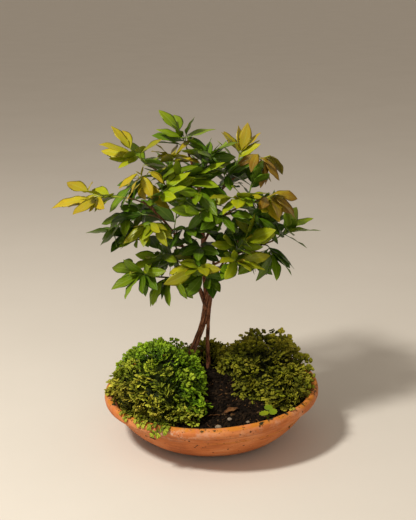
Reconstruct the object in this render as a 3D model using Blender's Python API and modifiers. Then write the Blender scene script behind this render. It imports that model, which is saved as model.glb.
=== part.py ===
"""A young bonsai tree with moss in a shallow clay bowl.

Metres, +Z up. The origin is the centre of the bowl's flat underside and the front is -Y.
The bowl holds drainage grit and soil, the soil holds the tree, and each leafy shoot grows on one of
the tree's twigs.
"""

import math
import random

import bmesh
import bpy
from mathutils import Matrix, Vector, noise
from mathutils.bvhtree import BVHTree

MM = 0.001
UP = Vector((0, 0, 1))

# Clearances
GAP = 0.3 * MM  # between pieces that rest on each other
SOIL_GAP = 0.6 * MM  # between the bowl's wall and what fills it
LEAF_GAP = 0.5 * MM  # the least between a leaf and any other shoot or wood

# Bowl
BOWL_RADIUS = 140 * MM
BOWL_HEIGHT = 68 * MM
FOOT_RADIUS = 58 * MM
FOOT_EDGE = 2 * MM  # height of the small step round the flat foot
WALL = 8 * MM
FLOOR = 8 * MM
LIP_HEIGHT = 14 * MM
LIP_DEPTH = 5 * MM  # half the lip's width
LIP_ANGLES = (150, 100, 50, 5, -45, -90)  # degrees, from the lip's inner side over its top
GROOVE = 2.5 * MM  # how far the neck under the lip is set back
BOWL_CURVE = 2.4  # higher is flatter at the foot and steeper at the neck
RIM_TILT = 0.045  # how much the hand-thrown rim rises per length to the right
BOWL_STEPS = 28
WALL_RINGS = 5

# Drainage
DRAIN_COUNT = 3
DRAIN_RADIUS = 6 * MM
DRAIN_CIRCLE = 24 * MM  # from the axis to each hole's centre
MESH_RADIUS = 38 * MM
MESH_THICKNESS = 1 * MM
MESH_SLOT = (9 * MM, 2 * MM)
MESH_SLOTS = 3  # over each drain hole
GRIT_DEPTH = 8 * MM

# Soil
SOIL_DROP = 10 * MM  # from the rim down to the soil's edge
SOIL_MOUND = 19 * MM  # how much higher the soil is at the stems
MOUND_CENTRE = (-18 * MM, 34 * MM)
MOUND_SPREAD = 40 * MM
SOIL_LUMP = 1.2 * MM
LUMP_SIZE = 14 * MM
SOIL_RINGS = 7

# Leaves and shoots
LEAF_WIDTH_SHARE = 0.43  # of a leaf's length
LEAF_WIDEST = 0.44  # where the leaf is widest, from its base to its tip
CROWN_CENTRE = (-5, 34, 170)  # as the limbs' points
LEAF_OUTLOOK = 1.5  # how strongly the leaves' upper faces look away from the crown's centre
LEAF_HALF_THICKNESS = 0.45 * MM
TWIG_RADII = (1.1 * MM, 0.8 * MM)
STEM_RADII = (0.75 * MM, 0.5 * MM)
WOOD_SHARE = 0.4  # of a shoot's path from its limb to its tip
FORKS = ((0.3, 0.65, 4), (0.62, 0.5, 3))  # of the green stem: a side stem's start, length, and its leaves
FORK_LENGTHS = (14 * MM, 34 * MM)  # a side stem's shortest and longest
FORK_ANGLES = (0.6, 1.2)  # radians from the green stem
FORK_SIZE = 0.9  # of the shoot's leaf length
LEAF_SHARES = (0.12, 0.93)  # of the green stem, the lowest and the highest side leaf
END_LEAF_SHARE = 0.97  # where the end leaf starts, inside the stem
LEAF_TRIES = 14
STEM_TRIES = 20
WORST_LEAN = 2.2  # in radians, how far a leaf may turn while it looks for room
SQUARE_GROWTH = 1.42  # a square ring this much wider holds a round one

# Limbs: radius at the start and the end, then points. Millimetres, x and y from the bowl's axis and z above
# the soil at the stems. Each limb but the stems starts inside the limb that it grows from.
LIMBS = {
    "main_stem": (4.7, 1.3, [
        (-38, 28, -22), (-32, 30, 8), (-21, 34, 36), (-11, 36, 65), (-7, 35, 103), (-10, 33, 144),
        (-11, 32, 186), (-13, 34, 226), (-20, 34, 262), (-31, 33, 298)]),
    "side_stem": (2.9, 1.7, [
        (-8, 40, -20), (-4, 37, 8), (-5, 37, 37), (-3.5, 36, 74), (-1, 36, 96), (1, 37, 120),
        (3, 40, 151)]),
    "left_limb": (2.4, 1.1, [
        (-8, 35, 87), (-15, 30, 110), (-28, 20, 138), (-36, 9, 175), (-57, -3, 210), (-84, -20, 242)]),
    "left_low": (1.5, 1.0, [(-23, 24, 126), (-47, 10, 134), (-72, -6, 141)]),
    "left_mid": (1.7, 1.0, [(-10, 32, 162), (-45, 46, 168), (-93, 45, 175)]),
    "right_limb": (1.9, 1.0, [(-11, 32, 174), (4, 20, 203), (26, 3, 225), (52, -14, 240)]),
    "upper_right": (1.7, 1.0, [(-12, 33, 209), (12, 28, 245), (51, 19, 284)]),
    "right_low": (1.6, 1.0, [(2, 39, 143), (31, 41, 157), (80, 38, 176)]),
    "front_low": (1.6, 1.0, [(-8, 34, 126), (3, 5, 145), (20, -24, 160)]),
    "top_left": (1.6, 1.0, [(-13, 34, 221), (-41, 25, 252), (-71, 15, 275)]),
    "top_mid": (1.5, 1.0, [(-13, 34, 219), (-7, 22, 256), (-8, 18, 274)]),
    "rear_left": (1.7, 1.0, [(-8, 36, 98), (-24, 62, 122), (-46, 88, 150), (-58, 98, 178)]),
    "rear_right": (1.6, 1.0, [(2, 38, 122), (18, 60, 144), (44, 86, 176)]),
    "rear_mid": (1.6, 1.0, [(-11, 32, 188), (-12, 56, 210), (-14, 86, 238)]),
}
ROOTS = {
    "root_left": (2.6, 0.9, [(-34, 29, -6), (-56, 30, -14), (-84, 22, -26)]),
    "root_front": (2.5, 0.9, [(-34, 29, -8), (-40, 8, -17), (-36, -22, -27)]),
    "root_rear": (2.4, 0.9, [(-34, 29, -9), (-38, 52, -18), (-30, 78, -28)]),
    "root_inner": (2.3, 0.9, [(-34, 29, -12), (-16, 22, -22), (6, 8, -32)]),
    "root_right": (2.0, 0.8, [(-6, 39, -8), (16, 36, -18), (46, 26, -30)]),
    "root_back": (1.9, 0.8, [(-6, 39, -10), (2, 58, -20), (18, 76, -30)]),
}
STEM_SIDES = 2  # bevel resolution of the stems: 8 sides
LIMB_SIDES = 1  # of limbs and roots: 6 sides
TWIG_SIDES = 0  # of twigs and green stems: 4 sides
POINT_SPACING = 22 * MM  # along a limb
TAPER = 1.4  # over 1 a limb keeps its thickness for longer
ROOT_FLARE = 1.35  # how much thicker the stems are where they meet the roots

# Shoots: limb, how far along it, tip (as the limbs' points), leaves, leaf length in millimetres,
# tone (0 mature green, 0.6 lime, 1 golden) and droop (0 upright to 1 hanging).
SHOOTS = {
    "far_left": ("left_limb", 0.97, (-150, -30, 247), 8, 41, 0.80, 0.25),
    "left_gold": ("left_limb", 0.86, (-84, -42, 280), 6, 32, 1.00, 0.90),
    "left_dark": ("left_limb", 0.80, (-104, 4, 218), 7, 38, 0.25, 0.30),
    "left_yellow": ("left_limb", 0.70, (-84, -34, 214), 6, 31, 0.70, 0.50),
    "front_upper_left": ("left_limb", 0.92, (-60, -56, 258), 7, 36, 0.50, 0.10),
    "front_core": ("left_limb", 0.62, (-30, -44, 212), 7, 34, 0.15, 0.30),
    "left_pale": ("left_limb", 0.35, (-74, -4, 164), 7, 34, 0.50, 0.40),
    "left_low_core": ("left_limb", 0.28, (-56, 28, 154), 6, 32, 0.20, 0.40),
    "upper_left": ("top_left", 0.96, (-99, 0, 297), 6, 38, 0.75, 0.10),
    "left_shade": ("top_left", 0.86, (-102, 16, 252), 7, 36, 0.20, 0.30),
    "crown_left": ("top_left", 0.74, (-46, 0, 293), 7, 36, 0.85, 0.50),
    "inner_left": ("top_left", 0.52, (-62, -16, 272), 7, 36, 0.45, 0.10),
    "long_lime": ("top_left", 0.38, (-29, -26, 268), 7, 42, 0.50, 0.00),
    "top": ("main_stem", 0.97, (-37, 18, 316), 6, 38, 0.45, 0.20),
    "front_low_core": ("main_stem", 0.56, (-14, -28, 184), 7, 33, 0.20, 0.30),
    "top_front": ("top_mid", 0.95, (1, -2, 297), 7, 38, 0.40, 0.10),
    "front_upper": ("top_mid", 0.50, (-16, -42, 256), 7, 36, 0.40, 0.10),
    "upper_right_tip": ("upper_right", 0.96, (66, 10, 290), 7, 33, 1.00, 0.90),
    "top_right": ("upper_right", 0.66, (37, 26, 297), 7, 35, 0.75, 0.00),
    "upper_right_inner": ("upper_right", 0.42, (22, 4, 272), 7, 38, 0.25, 0.10),
    "right_tip": ("right_limb", 0.96, (76, -24, 248), 7, 36, 0.90, 0.60),
    "right_upper_mid": ("right_limb", 0.86, (50, -2, 262), 7, 38, 0.20, 0.10),
    "right_lime": ("right_limb", 0.74, (32, -42, 250), 6, 35, 0.60, 0.20),
    "right_dark": ("right_limb", 0.56, (58, 14, 212), 7, 38, 0.12, 0.40),
    "front_right_upper": ("right_limb", 0.48, (10, -46, 232), 7, 34, 0.30, 0.20),
    "front_mid": ("right_limb", 0.30, (-16, -60, 238), 7, 35, 0.40, 0.20),
    "low_right_tip": ("right_low", 0.96, (99, 24, 192), 8, 38, 0.45, 0.20),
    "low_right_hang": ("right_low", 0.82, (78, 2, 168), 7, 38, 0.25, 0.60),
    "low_right_upper": ("right_low", 0.66, (68, 30, 206), 7, 40, 0.20, 0.30),
    "front_right": ("front_low", 0.96, (32, -44, 172), 7, 34, 0.70, 0.30),
    "front_left": ("front_low", 0.84, (-24, -40, 160), 6, 34, 0.75, 0.35),
    "right_front": ("front_low", 0.70, (44, -36, 196), 7, 38, 0.65, 0.20),
    "low_centre": ("front_low", 0.42, (-12, -8, 142), 5, 32, 0.30, 0.35),
    "low_left_tip": ("left_low", 0.95, (-92, -16, 146), 7, 36, 0.35, 0.30),
    "low_left_hang": ("left_low", 0.60, (-55, -10, 138), 6, 36, 0.40, 0.90),
    "left_long": ("left_mid", 0.96, (-124, 40, 188), 8, 37, 0.35, 0.30),
    "left_twig": ("left_mid", 0.66, (-94, 16, 192), 7, 35, 0.45, 0.40),
    "right_core": ("side_stem", 0.97, (20, 8, 194), 8, 34, 0.15, 0.30),
    "rear_left_tip": ("rear_left", 0.96, (-84, 104, 196), 8, 38, 0.20, 0.20),
    "rear_left_low": ("rear_left", 0.62, (-64, 84, 146), 7, 36, 0.15, 0.40),
    "rear_left_upper": ("rear_left", 0.80, (-42, 98, 218), 8, 37, 0.25, 0.10),
    "rear_right_tip": ("rear_right", 0.96, (72, 94, 202), 8, 38, 0.25, 0.20),
    "rear_right_low": ("rear_right", 0.56, (48, 80, 148), 7, 36, 0.15, 0.40),
    "rear_mid_tip": ("rear_mid", 0.96, (-10, 102, 262), 8, 38, 0.30, 0.10),
    "rear_mid_left": ("rear_mid", 0.72, (-54, 70, 260), 8, 37, 0.30, 0.20),
    "rear_mid_right": ("rear_mid", 0.60, (34, 68, 254), 8, 37, 0.25, 0.10),
}

# Moss cushions: each is a group of domes, the largest first. A dome is its centre and its half-widths in
# x and y, as shares of the bowl's radius, and its height over its foot in millimetres.
MOSS = {
    "moss_left": [
        (-0.50, -0.13, 0.43, 0.56, 66), (-0.60, 0.26, 0.30, 0.34, 52), (-0.32, 0.10, 0.24, 0.28, 50),
        (-0.36, -0.52, 0.30, 0.28, 32), (-0.64, -0.44, 0.20, 0.22, 26), (-0.50, -0.78, 0.18, 0.13, 15)],
    "moss_right": [
        (0.47, 0.34, 0.43, 0.42, 53), (0.66, -0.12, 0.28, 0.38, 38), (0.24, 0.42, 0.27, 0.28, 38),
        (0.44, -0.08, 0.22, 0.24, 28), (0.68, -0.42, 0.18, 0.17, 24)],
    "moss_rear": [(-0.10, 0.70, 0.36, 0.20, 24)],
}
MOSS_FOOT = 3 * MM  # how far a dome's widest ring is above the soil's edge
MOSS_ROOTING = 12 * MM  # how far a dome goes down from there
MOSS_BUMP = 4 * MM
BUMP_SIZE = 26 * MM
TRUNK_CLEARANCE = 1.5 * MM  # between moss and wood

# Small things on the soil: x and y, then half-sizes in millimetres
PEBBLES = {
    "pebble_front": (8, -117, 4.2, 3.2, 2.6),
    "pebble_middle": (22, -96, 3.2, 2.6, 2.2),
    "pebble_side": (44, -104, 2.6, 2.2, 1.8),
}
SEEDLING_PLACE = (69, -93)  # millimetres
SEEDLING_STALKS = [(-5, -6, 9), (6, -4, 10), (1, 6, 11)]  # leaf centres from the foot, millimetres
SEEDLING_LEAF = 4.5 * MM
SEEDLING_SHAPE = (1, 0.8, 0.16)  # a leaflet's half-sizes, as shares of the one before
STALK_RADIUS = 0.6 * MM
FALLEN_LEAVES = {
    "fallen_leaf_front": (26, -70, 30, 26),
    "fallen_leaf_side": (2, -84, 200, 20),
}  # x, y, heading in degrees and length in millimetres

MATERIALS = {
    "terracotta": ((0.50, 0.22, 0.10), 0.85),
    "drainage_plastic": ((0.05, 0.05, 0.05), 0.5),
    "drainage_grit": ((0.30, 0.26, 0.22), 0.9),
    "potting_soil": ((0.035, 0.022, 0.014), 0.95),
    "bark": ((0.16, 0.075, 0.04), 0.85),
    "leaf_green": ((0.06, 0.16, 0.03), 0.4),
    "leaf_lime": ((0.28, 0.40, 0.05), 0.4),
    "leaf_gold": ((0.55, 0.38, 0.05), 0.4),
    "moss_bright": ((0.16, 0.28, 0.03), 0.8),
    "moss_dark": ((0.09, 0.15, 0.03), 0.8),
    "pale_stone": ((0.55, 0.50, 0.42), 0.8),
    "dry_leaf": ((0.40, 0.18, 0.05), 0.8),
}
LIME_TONE = 0.48  # shoots from this tone up are lime
GOLD_TONE = 0.8  # and from this one golden


# Scene helpers

def clear_scene():
    for obj in list(bpy.data.objects):
        bpy.data.objects.remove(obj, do_unlink=True)


def new_collection(name):
    collection = bpy.data.collections.new(name)
    bpy.context.scene.collection.children.link(collection)
    return collection


def make_materials():
    made = {}
    for name, (colour, roughness) in MATERIALS.items():
        material = bpy.data.materials.new(name)
        material.use_nodes = True
        shader = material.node_tree.nodes["Principled BSDF"]
        shader.inputs["Base Color"].default_value = (*colour, 1)
        shader.inputs["Roughness"].default_value = roughness
        shader.inputs["Metallic"].default_value = 0
        made[name] = material
    return made


def add_part(parts, name, mesh, material, smooth=True):
    mesh.name = name
    mesh.materials.clear()
    mesh.materials.append(material)
    obj = bpy.data.objects.new(name, mesh)
    parts.objects.link(obj)
    if smooth:
        mesh.shade_smooth()
        mesh.set_sharp_from_angle(angle=math.radians(50))
    return obj


def baked(obj):
    """The object's evaluated mesh in world space. The object is removed."""
    bpy.context.view_layer.update()
    evaluated = obj.evaluated_get(bpy.context.evaluated_depsgraph_get())
    mesh = bpy.data.meshes.new_from_object(evaluated)
    mesh.transform(obj.matrix_world)
    bpy.data.objects.remove(obj, do_unlink=True)
    return mesh


def helper(name, data):
    obj = bpy.data.objects.new(name, data)
    bpy.context.scene.collection.objects.link(obj)
    return obj


def solved(mesh, others, operation):
    """The mesh joined with the others (UNION) or cut by them (DIFFERENCE), as a new mesh."""
    operands = new_collection("operands")
    for other in others:
        operands.objects.link(bpy.data.objects.new("operand", other))
    main = helper("solved", mesh)
    boolean = main.modifiers.new("solve", "BOOLEAN")
    boolean.operation = operation
    boolean.operand_type = "COLLECTION"
    boolean.collection = operands
    result = baked(main)
    for obj in list(operands.objects):
        bpy.data.objects.remove(obj, do_unlink=True)
    bpy.data.collections.remove(operands)
    return result


def mesh_from(bm):
    mesh = bpy.data.meshes.new("mesh")
    bm.to_mesh(mesh)
    bm.free()
    return mesh


# Turned shapes

def turned(profile):
    """A Screw of (radius, height) pairs, which run down the outer side."""
    mesh = bpy.data.meshes.new("profile")
    edges = [(i, i + 1) for i in range(len(profile) - 1)]
    mesh.from_pydata([(r, 0, z) for r, z in profile], edges, [])
    obj = helper("turned", mesh)
    screw = obj.modifiers.new("turn", "SCREW")
    screw.steps = BOWL_STEPS
    screw.render_steps = BOWL_STEPS
    screw.use_merge_vertices = True
    screw.merge_threshold = 1e-6
    return baked(obj)


def rim_lift(x, z):
    """How much the tilted rim raises a point of the bowl or of what is in it."""
    return RIM_TILT * x * z / BOWL_HEIGHT


def lean(mesh):
    for vertex in mesh.vertices:
        vertex.co.z += rim_lift(vertex.co.x, vertex.co.z)
    return mesh


def wall_point(t, inward):
    """A point of the wall from the foot (0) to the neck (1), this far in from the outer face."""
    neck_radius = BOWL_RADIUS - LIP_DEPTH - GROOVE
    run = neck_radius - FOOT_RADIUS
    rise = BOWL_HEIGHT - LIP_HEIGHT - FOOT_EDGE
    slope = rise * BOWL_CURVE * t ** (BOWL_CURVE - 1) / run
    normal = Vector((-slope, 1)).normalized()
    outer = Vector((FOOT_RADIUS + run * t, FOOT_EDGE + rise * t ** BOWL_CURVE))
    return outer + normal * inward


def inner_point(t, extra=0.0):
    return wall_point(t, FLOOR + (WALL - FLOOR) * t + extra)


def ring_values(start, end, count):
    return [start + (end - start) * i / (count - 1) for i in range(count)]


def inner_rings(extra=0.0):
    return [inner_point(t, extra) for t in ring_values(0, 1, WALL_RINGS)]


def inner_at(height, extra=0.0):
    """The point of the bowl's faceted inner face at this height, moved in by the extra."""
    rings = inner_rings(extra)
    for lower, upper in zip(rings, rings[1:]):
        if height <= upper.y:
            return lower.lerp(upper, max(0, height - lower.y) / (upper.y - lower.y))
    return Vector((rings[-1].x, height))


def inner_run(high, low, extra):
    """The inner face between two heights, from the top down."""
    between = [point for point in inner_rings(extra)[::-1] if low < point.y < high]
    return [inner_at(high, extra)] + between + [inner_at(low, extra)]


def lip_points(extra=0.0):
    """The rolled lip, from its inner side over the top to its underside."""
    centre = Vector((BOWL_RADIUS - LIP_DEPTH, BOWL_HEIGHT - LIP_HEIGHT / 2))
    points = []
    for degrees in LIP_ANGLES:
        angle = math.radians(degrees)
        reach = Vector((math.cos(angle) * (LIP_DEPTH + extra), math.sin(angle) * (LIP_HEIGHT / 2 + extra)))
        points.append(centre + reach)
    return points


def outer_points(extra=0.0):
    """The outer face from the neck down to the foot."""
    return [wall_point(t, -extra) for t in ring_values(1, 0, WALL_RINGS)]


def floor_height():
    return inner_point(0).y


def soil_edge_height():
    return BOWL_HEIGHT - SOIL_DROP


def drain_centres():
    angles = [math.radians(90 + 360 * i / DRAIN_COUNT) for i in range(DRAIN_COUNT)]
    return [Vector((math.cos(a) * DRAIN_CIRCLE, math.sin(a) * DRAIN_CIRCLE, 0)) for a in angles]


def drain_cutter(centre):
    bm = bmesh.new()
    depth = 4 * floor_height()
    bmesh.ops.create_cone(
        bm, cap_ends=True, segments=12, radius1=DRAIN_RADIUS, radius2=DRAIN_RADIUS, depth=depth)
    bmesh.ops.translate(bm, verts=bm.verts, vec=centre)
    return mesh_from(bm)


def bowl_mesh():
    profile = [Vector((0, floor_height()))]
    profile += inner_rings()
    profile += lip_points()
    profile += outer_points()
    profile += [Vector((FOOT_RADIUS - FOOT_EDGE / 2, 0)), Vector((0, 0))]
    bowl = turned(profile)
    return lean(solved(bowl, [drain_cutter(centre) for centre in drain_centres()], "DIFFERENCE"))


def slot_cutter(centre):
    bm = bmesh.new()
    bmesh.ops.create_cube(bm, size=1)
    bmesh.ops.scale(bm, verts=bm.verts, vec=(*MESH_SLOT, 4 * floor_height()))
    bmesh.ops.translate(bm, verts=bm.verts, vec=centre)
    return mesh_from(bm)


def drainage_mesh():
    """A thin plastic disc on the floor, slotted over the drain holes."""
    low = floor_height() + GAP
    top = low + MESH_THICKNESS
    disc = turned([(0, top), (MESH_RADIUS, top), (MESH_RADIUS, low), (0, low)])
    cutters = []
    for centre in drain_centres():
        for i in range(MESH_SLOTS):
            across = (i - (MESH_SLOTS - 1) / 2) * 2 * MESH_SLOT[1]
            cutters.append(slot_cutter(centre + Vector((0, across, 0))))
    return lean(solved(disc, cutters, "DIFFERENCE"))


def grit_mesh():
    """The grit, which lies on the floor and over the drainage mesh."""
    top = floor_height() + SOIL_GAP + MESH_THICKNESS + GRIT_DEPTH
    under_mesh = floor_height() + MESH_THICKNESS + 2 * GAP
    floor = floor_height() + SOIL_GAP
    step = MESH_RADIUS + 2 * GAP
    profile = [Vector((0, top))] + inner_run(top, floor, SOIL_GAP)
    profile += [Vector((step, floor)), Vector((step, under_mesh)), Vector((0, under_mesh))]
    return lean(turned(profile)), top


def soil_rise(x, y):
    """How much higher the soil is here than at its edge."""
    radius = math.hypot(x, y) / inner_at(soil_edge_height()).x
    distance = math.hypot(x - MOUND_CENTRE[0], y - MOUND_CENTRE[1])
    mound = SOIL_MOUND * math.exp(-(distance / MOUND_SPREAD) ** 2 / 2)
    lumps = SOIL_LUMP * noise.noise(Vector((x, y, 0)) / LUMP_SIZE)
    return (mound + lumps) * (1 - min(radius, 1) ** 6)


def soil_height(x, y):
    """The soil's surface, with the rim's tilt."""
    height = soil_edge_height() + soil_rise(x, y)
    return height + rim_lift(x, height)


def soil_top(raised=0.0):
    """The points of the flat surface that raise_soil then shapes."""
    radius = inner_at(soil_edge_height(), SOIL_GAP).x
    height = soil_edge_height() + raised
    return [Vector((r, height)) for r in ring_values(0, radius, SOIL_RINGS)]


def raise_soil(mesh, level):
    """The flat top shaped into the mound. Its triangles all run one way, so a raised copy stays parallel."""
    bm = bmesh.new()
    bm.from_mesh(mesh)
    bmesh.ops.triangulate(bm, faces=bm.faces, quad_method="FIXED")
    for vertex in bm.verts:
        if abs(vertex.co.z - level) < 1e-6:
            vertex.co.z += soil_rise(vertex.co.x, vertex.co.y)
    return mesh_from(bm)


def soil_mesh(bottom):
    profile = soil_top()[:-1] + inner_run(soil_edge_height(), bottom, SOIL_GAP)
    profile += [Vector((0, bottom))]
    return lean(raise_soil(turned(profile), soil_edge_height()))


def ground_cutter():
    """Everything that the moss lies on, grown by the gap: the soil, the lip and all that is below them."""
    profile = soil_top(GAP)
    profile += inner_run(BOWL_HEIGHT, soil_edge_height() + 2 * GAP, GAP)[:0:-1]
    profile += [point for point in lip_points(GAP) if point.y > BOWL_HEIGHT - LIP_HEIGHT / 2]
    profile += [Vector((BOWL_RADIUS + GAP, BOWL_HEIGHT - LIP_HEIGHT / 2)), Vector((BOWL_RADIUS + GAP, 0))]
    profile += [Vector((0, 0))]
    return lean(raise_soil(turned(profile), soil_edge_height() + GAP))


# Tree plan: where every limb, twig, green stem and leaf is. Nothing here makes an object.

def tree_place(point):
    """A point of the tables, in metres over the soil at the stems."""
    crown = soil_height(*MOUND_CENTRE)
    return Vector((point[0] * MM, point[1] * MM, point[2] * MM + crown))


def smooth_path(points, count):
    """This many points, evenly spaced along a Catmull-Rom curve through the given ones."""
    ends = [points[0] * 2 - points[1]] + list(points) + [points[-1] * 2 - points[-2]]
    fine = []
    for i in range(len(points) - 1):
        a, b, c, d = ends[i:i + 4]
        for k in range(8):
            t = k / 8
            fine.append(
                (b * 2 + (c - a) * t + (a * 2 - b * 5 + c * 4 - d) * t ** 2
                 + (b * 3 - a - c * 3 + d) * t ** 3) / 2)
    fine.append(points[-1])
    return [along(fine, i / (count - 1)) for i in range(count)]


def path_length(path):
    return sum((b - a).length for a, b in zip(path, path[1:]))


def along(path, share):
    """The point this share of the way along the path."""
    left = path_length(path) * share
    for a, b in zip(path, path[1:]):
        step = (b - a).length
        if left <= step:
            return a.lerp(b, left / step)
        left -= step
    return path[-1].copy()


def heading(path, share):
    step = 0.04
    return (along(path, min(share + step, 1)) - along(path, max(share - step, 0))).normalized()


def limb_path(points):
    placed = [tree_place(point) for point in points]
    return smooth_path(placed, max(4, round(path_length(placed) / POINT_SPACING)))


def shoot_path(limb, share, tip):
    """The curve from a limb out to the shoot's tip: first along the limb, then bending up."""
    start = along(limb, share)
    length = (tip - start).length
    first = start + heading(limb, share) * length * 0.22 + (tip - start) * 0.12
    second = tip - (tip - start) * 0.35 + UP * length * 0.10
    curve = []
    for i in range(13):
        t = i / 12
        s = 1 - t
        curve.append(start * s ** 3 + first * 3 * t * s ** 2 + second * 3 * t ** 2 * s + tip * t ** 3)
    return curve


def part_of(path, start, end, count):
    return [along(path, share) for share in ring_values(start, end, count)]


def rough_tube(path, radius):
    """A tube of square rings for clearance tests."""
    bm = bmesh.new()
    rings = []
    for i, point in enumerate(path):
        direction = heading(path, i / (len(path) - 1))
        side = direction.orthogonal().normalized() * radius
        other = direction.cross(side)
        rings.append([bm.verts.new(point + offset) for offset in (side, other, -side, -other)])
    for ring, after in zip(rings, rings[1:]):
        for k in range(4):
            bm.faces.new((ring[k - 1], ring[k], after[k], after[k - 1]))
    return bm


class Room:
    """What is already placed, so that the next piece can keep clear of it."""

    def __init__(self):
        self.placed = []

    def solid(self, owner, bm):
        centre = sum((vertex.co for vertex in bm.verts), Vector()) / len(bm.verts)
        reach = max((vertex.co - centre).length for vertex in bm.verts)
        tree = BVHTree.FromBMesh(bm)
        bm.free()
        return owner, centre, reach, tree

    def add(self, owner, bm):
        self.placed.append(self.solid(owner, bm))

    def free(self, bm, ignored):
        """Whether the shape touches nothing but what the ignored owners hold."""
        _, centre, reach, tree = self.solid(None, bm)
        for owner, other_centre, other_reach, other in self.placed:
            if owner in ignored or (centre - other_centre).length > reach + other_reach:
                continue
            if tree.overlap(other):
                return False
        return True


def leaf_axes(direction, roll, outlook):
    """The blade's side and upper normal. The upper face turns to the outlook unless the leaf is rolled."""
    level = outlook - direction * outlook.dot(direction)
    if level.length < 0.1:
        level = direction.orthogonal()
    normal = Matrix.Rotation(roll, 3, direction) @ level.normalized()
    return direction.cross(normal), normal


def leaf_half_width(u):
    """Half the blade's width this share of the way to the tip, as a share of its greatest half-width."""
    return math.sin(math.pi * min(max(u, 0), 1) ** 0.85) ** 1.1


def leaf_point(leaf, u, across, lift):
    """A point of the leaf: u from base to tip, across from -1 to 1 of its half-width, lift in metres."""
    base, direction, side, normal, length, arch = leaf
    half = length * LEAF_WIDTH_SHARE / 2
    return base + direction * length * u + side * half * across + normal * (lift - arch * length * u * u)


def leaf_ball(leaf, grown=0.0):
    """The leaf as a coarse ball pulled into a thin lens, with its poles at the leaf's base and tip."""
    bm = bmesh.new()
    bmesh.ops.create_uvsphere(bm, u_segments=4, v_segments=2, radius=1)
    length = leaf[4]
    half = length * LEAF_WIDTH_SHARE / 2
    for vertex in bm.verts:
        across, rise, down = vertex.co
        u = LEAF_WIDEST * (1 - down) if down > 0 else LEAF_WIDEST - down * (1 - LEAF_WIDEST)
        ring = math.hypot(across, rise)
        width = leaf_half_width(u) + grown / half
        if ring > 0.01:
            across *= width / ring
            rise *= (LEAF_HALF_THICKNESS + grown) / ring
        vertex.co = leaf_point(leaf, u * (1 + grown / length), across, rise)
    return bm


def leaf_try(rng, stem, share, turn, size, droop, looseness):
    """One leaf at this share of the stem. Its turn is -1 or 1 for its side and 0 at the stem's end."""
    direction = heading(stem, share)
    side = direction.cross(UP)
    if side.length < 0.3:
        side = Vector((1, 0, 0))
    side = Matrix.Rotation(rng.uniform(-0.5, 0.5) * (1 + looseness), 3, direction) @ side.normalized()
    spread = turn * math.radians(rng.uniform(42, 62) - 16 * share) + rng.uniform(-0.5, 0.5) * looseness
    pointing = direction * math.cos(spread) + side * math.sin(spread)
    pointing += UP * (rng.uniform(-0.1, 0.2) - 1.3 * droop ** 1.5)
    pointing.normalize()
    base = along(stem, share)
    outlook = UP + (base - tree_place(CROWN_CENTRE)).normalized() * LEAF_OUTLOOK
    side, normal = leaf_axes(pointing, rng.uniform(-0.6, 0.6) * (1 + looseness), outlook)
    length = size * MM * rng.uniform(0.82, 1.1)
    arch = rng.uniform(0.04, 0.16) + 0.1 * droop
    return base, pointing, side, normal, length, arch


def plan_leaves(room, owner, stem, count, size, droop):
    """A leaf at the stem's end and others on alternate sides below it, each where there is room."""
    rng = random.Random(owner)
    leaves = []
    shares = [END_LEAF_SHARE] + ring_values(*LEAF_SHARES, count - 1)[::-1]
    turn = rng.choice((-1, 1))
    for share in shares:
        turn = -turn
        for attempt in range(LEAF_TRIES):
            looseness = WORST_LEAN * attempt / LEAF_TRIES
            side = 0 if share == END_LEAF_SHARE else turn
            leaf = leaf_try(rng, stem, share, side, size * (1 - 0.02 * attempt), droop, looseness)
            if room.free(leaf_ball(leaf, LEAF_GAP), (owner,)):
                leaves.append(leaf)
                room.add("leaf", leaf_ball(leaf))
                break
    return leaves


def plan_shoot(room, name, limbs):
    """The twig and the green stem of a shoot, moved a little where they would touch another shoot."""
    limb, share, tip, _, _, _, _ = SHOOTS[name]
    rng = random.Random(name + " stem")
    for attempt in range(STEM_TRIES):
        reach = attempt * MM
        moved = tree_place(tip) + Vector([rng.uniform(-reach, reach) for _ in range(3)])
        path = shoot_path(limbs[limb], share, moved)
        joint = GAP / path_length(path)
        twig = part_of(path, 0, WOOD_SHARE, 3)
        stem = part_of(path, WOOD_SHARE + joint, 1, 4)
        grown = rough_tube(stem, STEM_RADII[0] * SQUARE_GROWTH + LEAF_GAP)
        twig_grown = rough_tube(twig, TWIG_RADII[0] * SQUARE_GROWTH + LEAF_GAP)
        if room.free(grown, ()) and room.free(twig_grown, ("wood",)):
            break
    room.add("wood", rough_tube(twig, TWIG_RADII[0] * SQUARE_GROWTH))
    room.add(name, rough_tube(stem, STEM_RADII[0] * SQUARE_GROWTH))
    return twig, stem


def fork_name(name, number):
    return f"{name}_fork{number}"


def plan_fork(room, name, stem, number):
    """A side stem of a shoot, on the side that has room, or None where neither has."""
    place, share, _ = FORKS[number]
    rng = random.Random(fork_name(name, number))
    length = min(max(path_length(stem) * share, FORK_LENGTHS[0]), FORK_LENGTHS[1])
    start = along(stem, place)
    direction = heading(stem, place)
    turn = rng.choice((-1, 1))
    for attempt in range(STEM_TRIES):
        turn = -turn
        angle = turn * rng.uniform(*FORK_ANGLES)
        out = Matrix.Rotation(angle, 3, UP) @ direction + UP * rng.uniform(-0.3, 0.4)
        tip = start + out.normalized() * length
        middle = start.lerp(tip, 0.5) + direction * length * 0.12
        fork = [start, middle, tip]
        grown = rough_tube(fork, STEM_RADII[0] * SQUARE_GROWTH + LEAF_GAP)
        if room.free(grown, (name,)):
            room.add(fork_name(name, number), rough_tube(fork, STEM_RADII[0] * SQUARE_GROWTH))
            return fork
    return None


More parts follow.
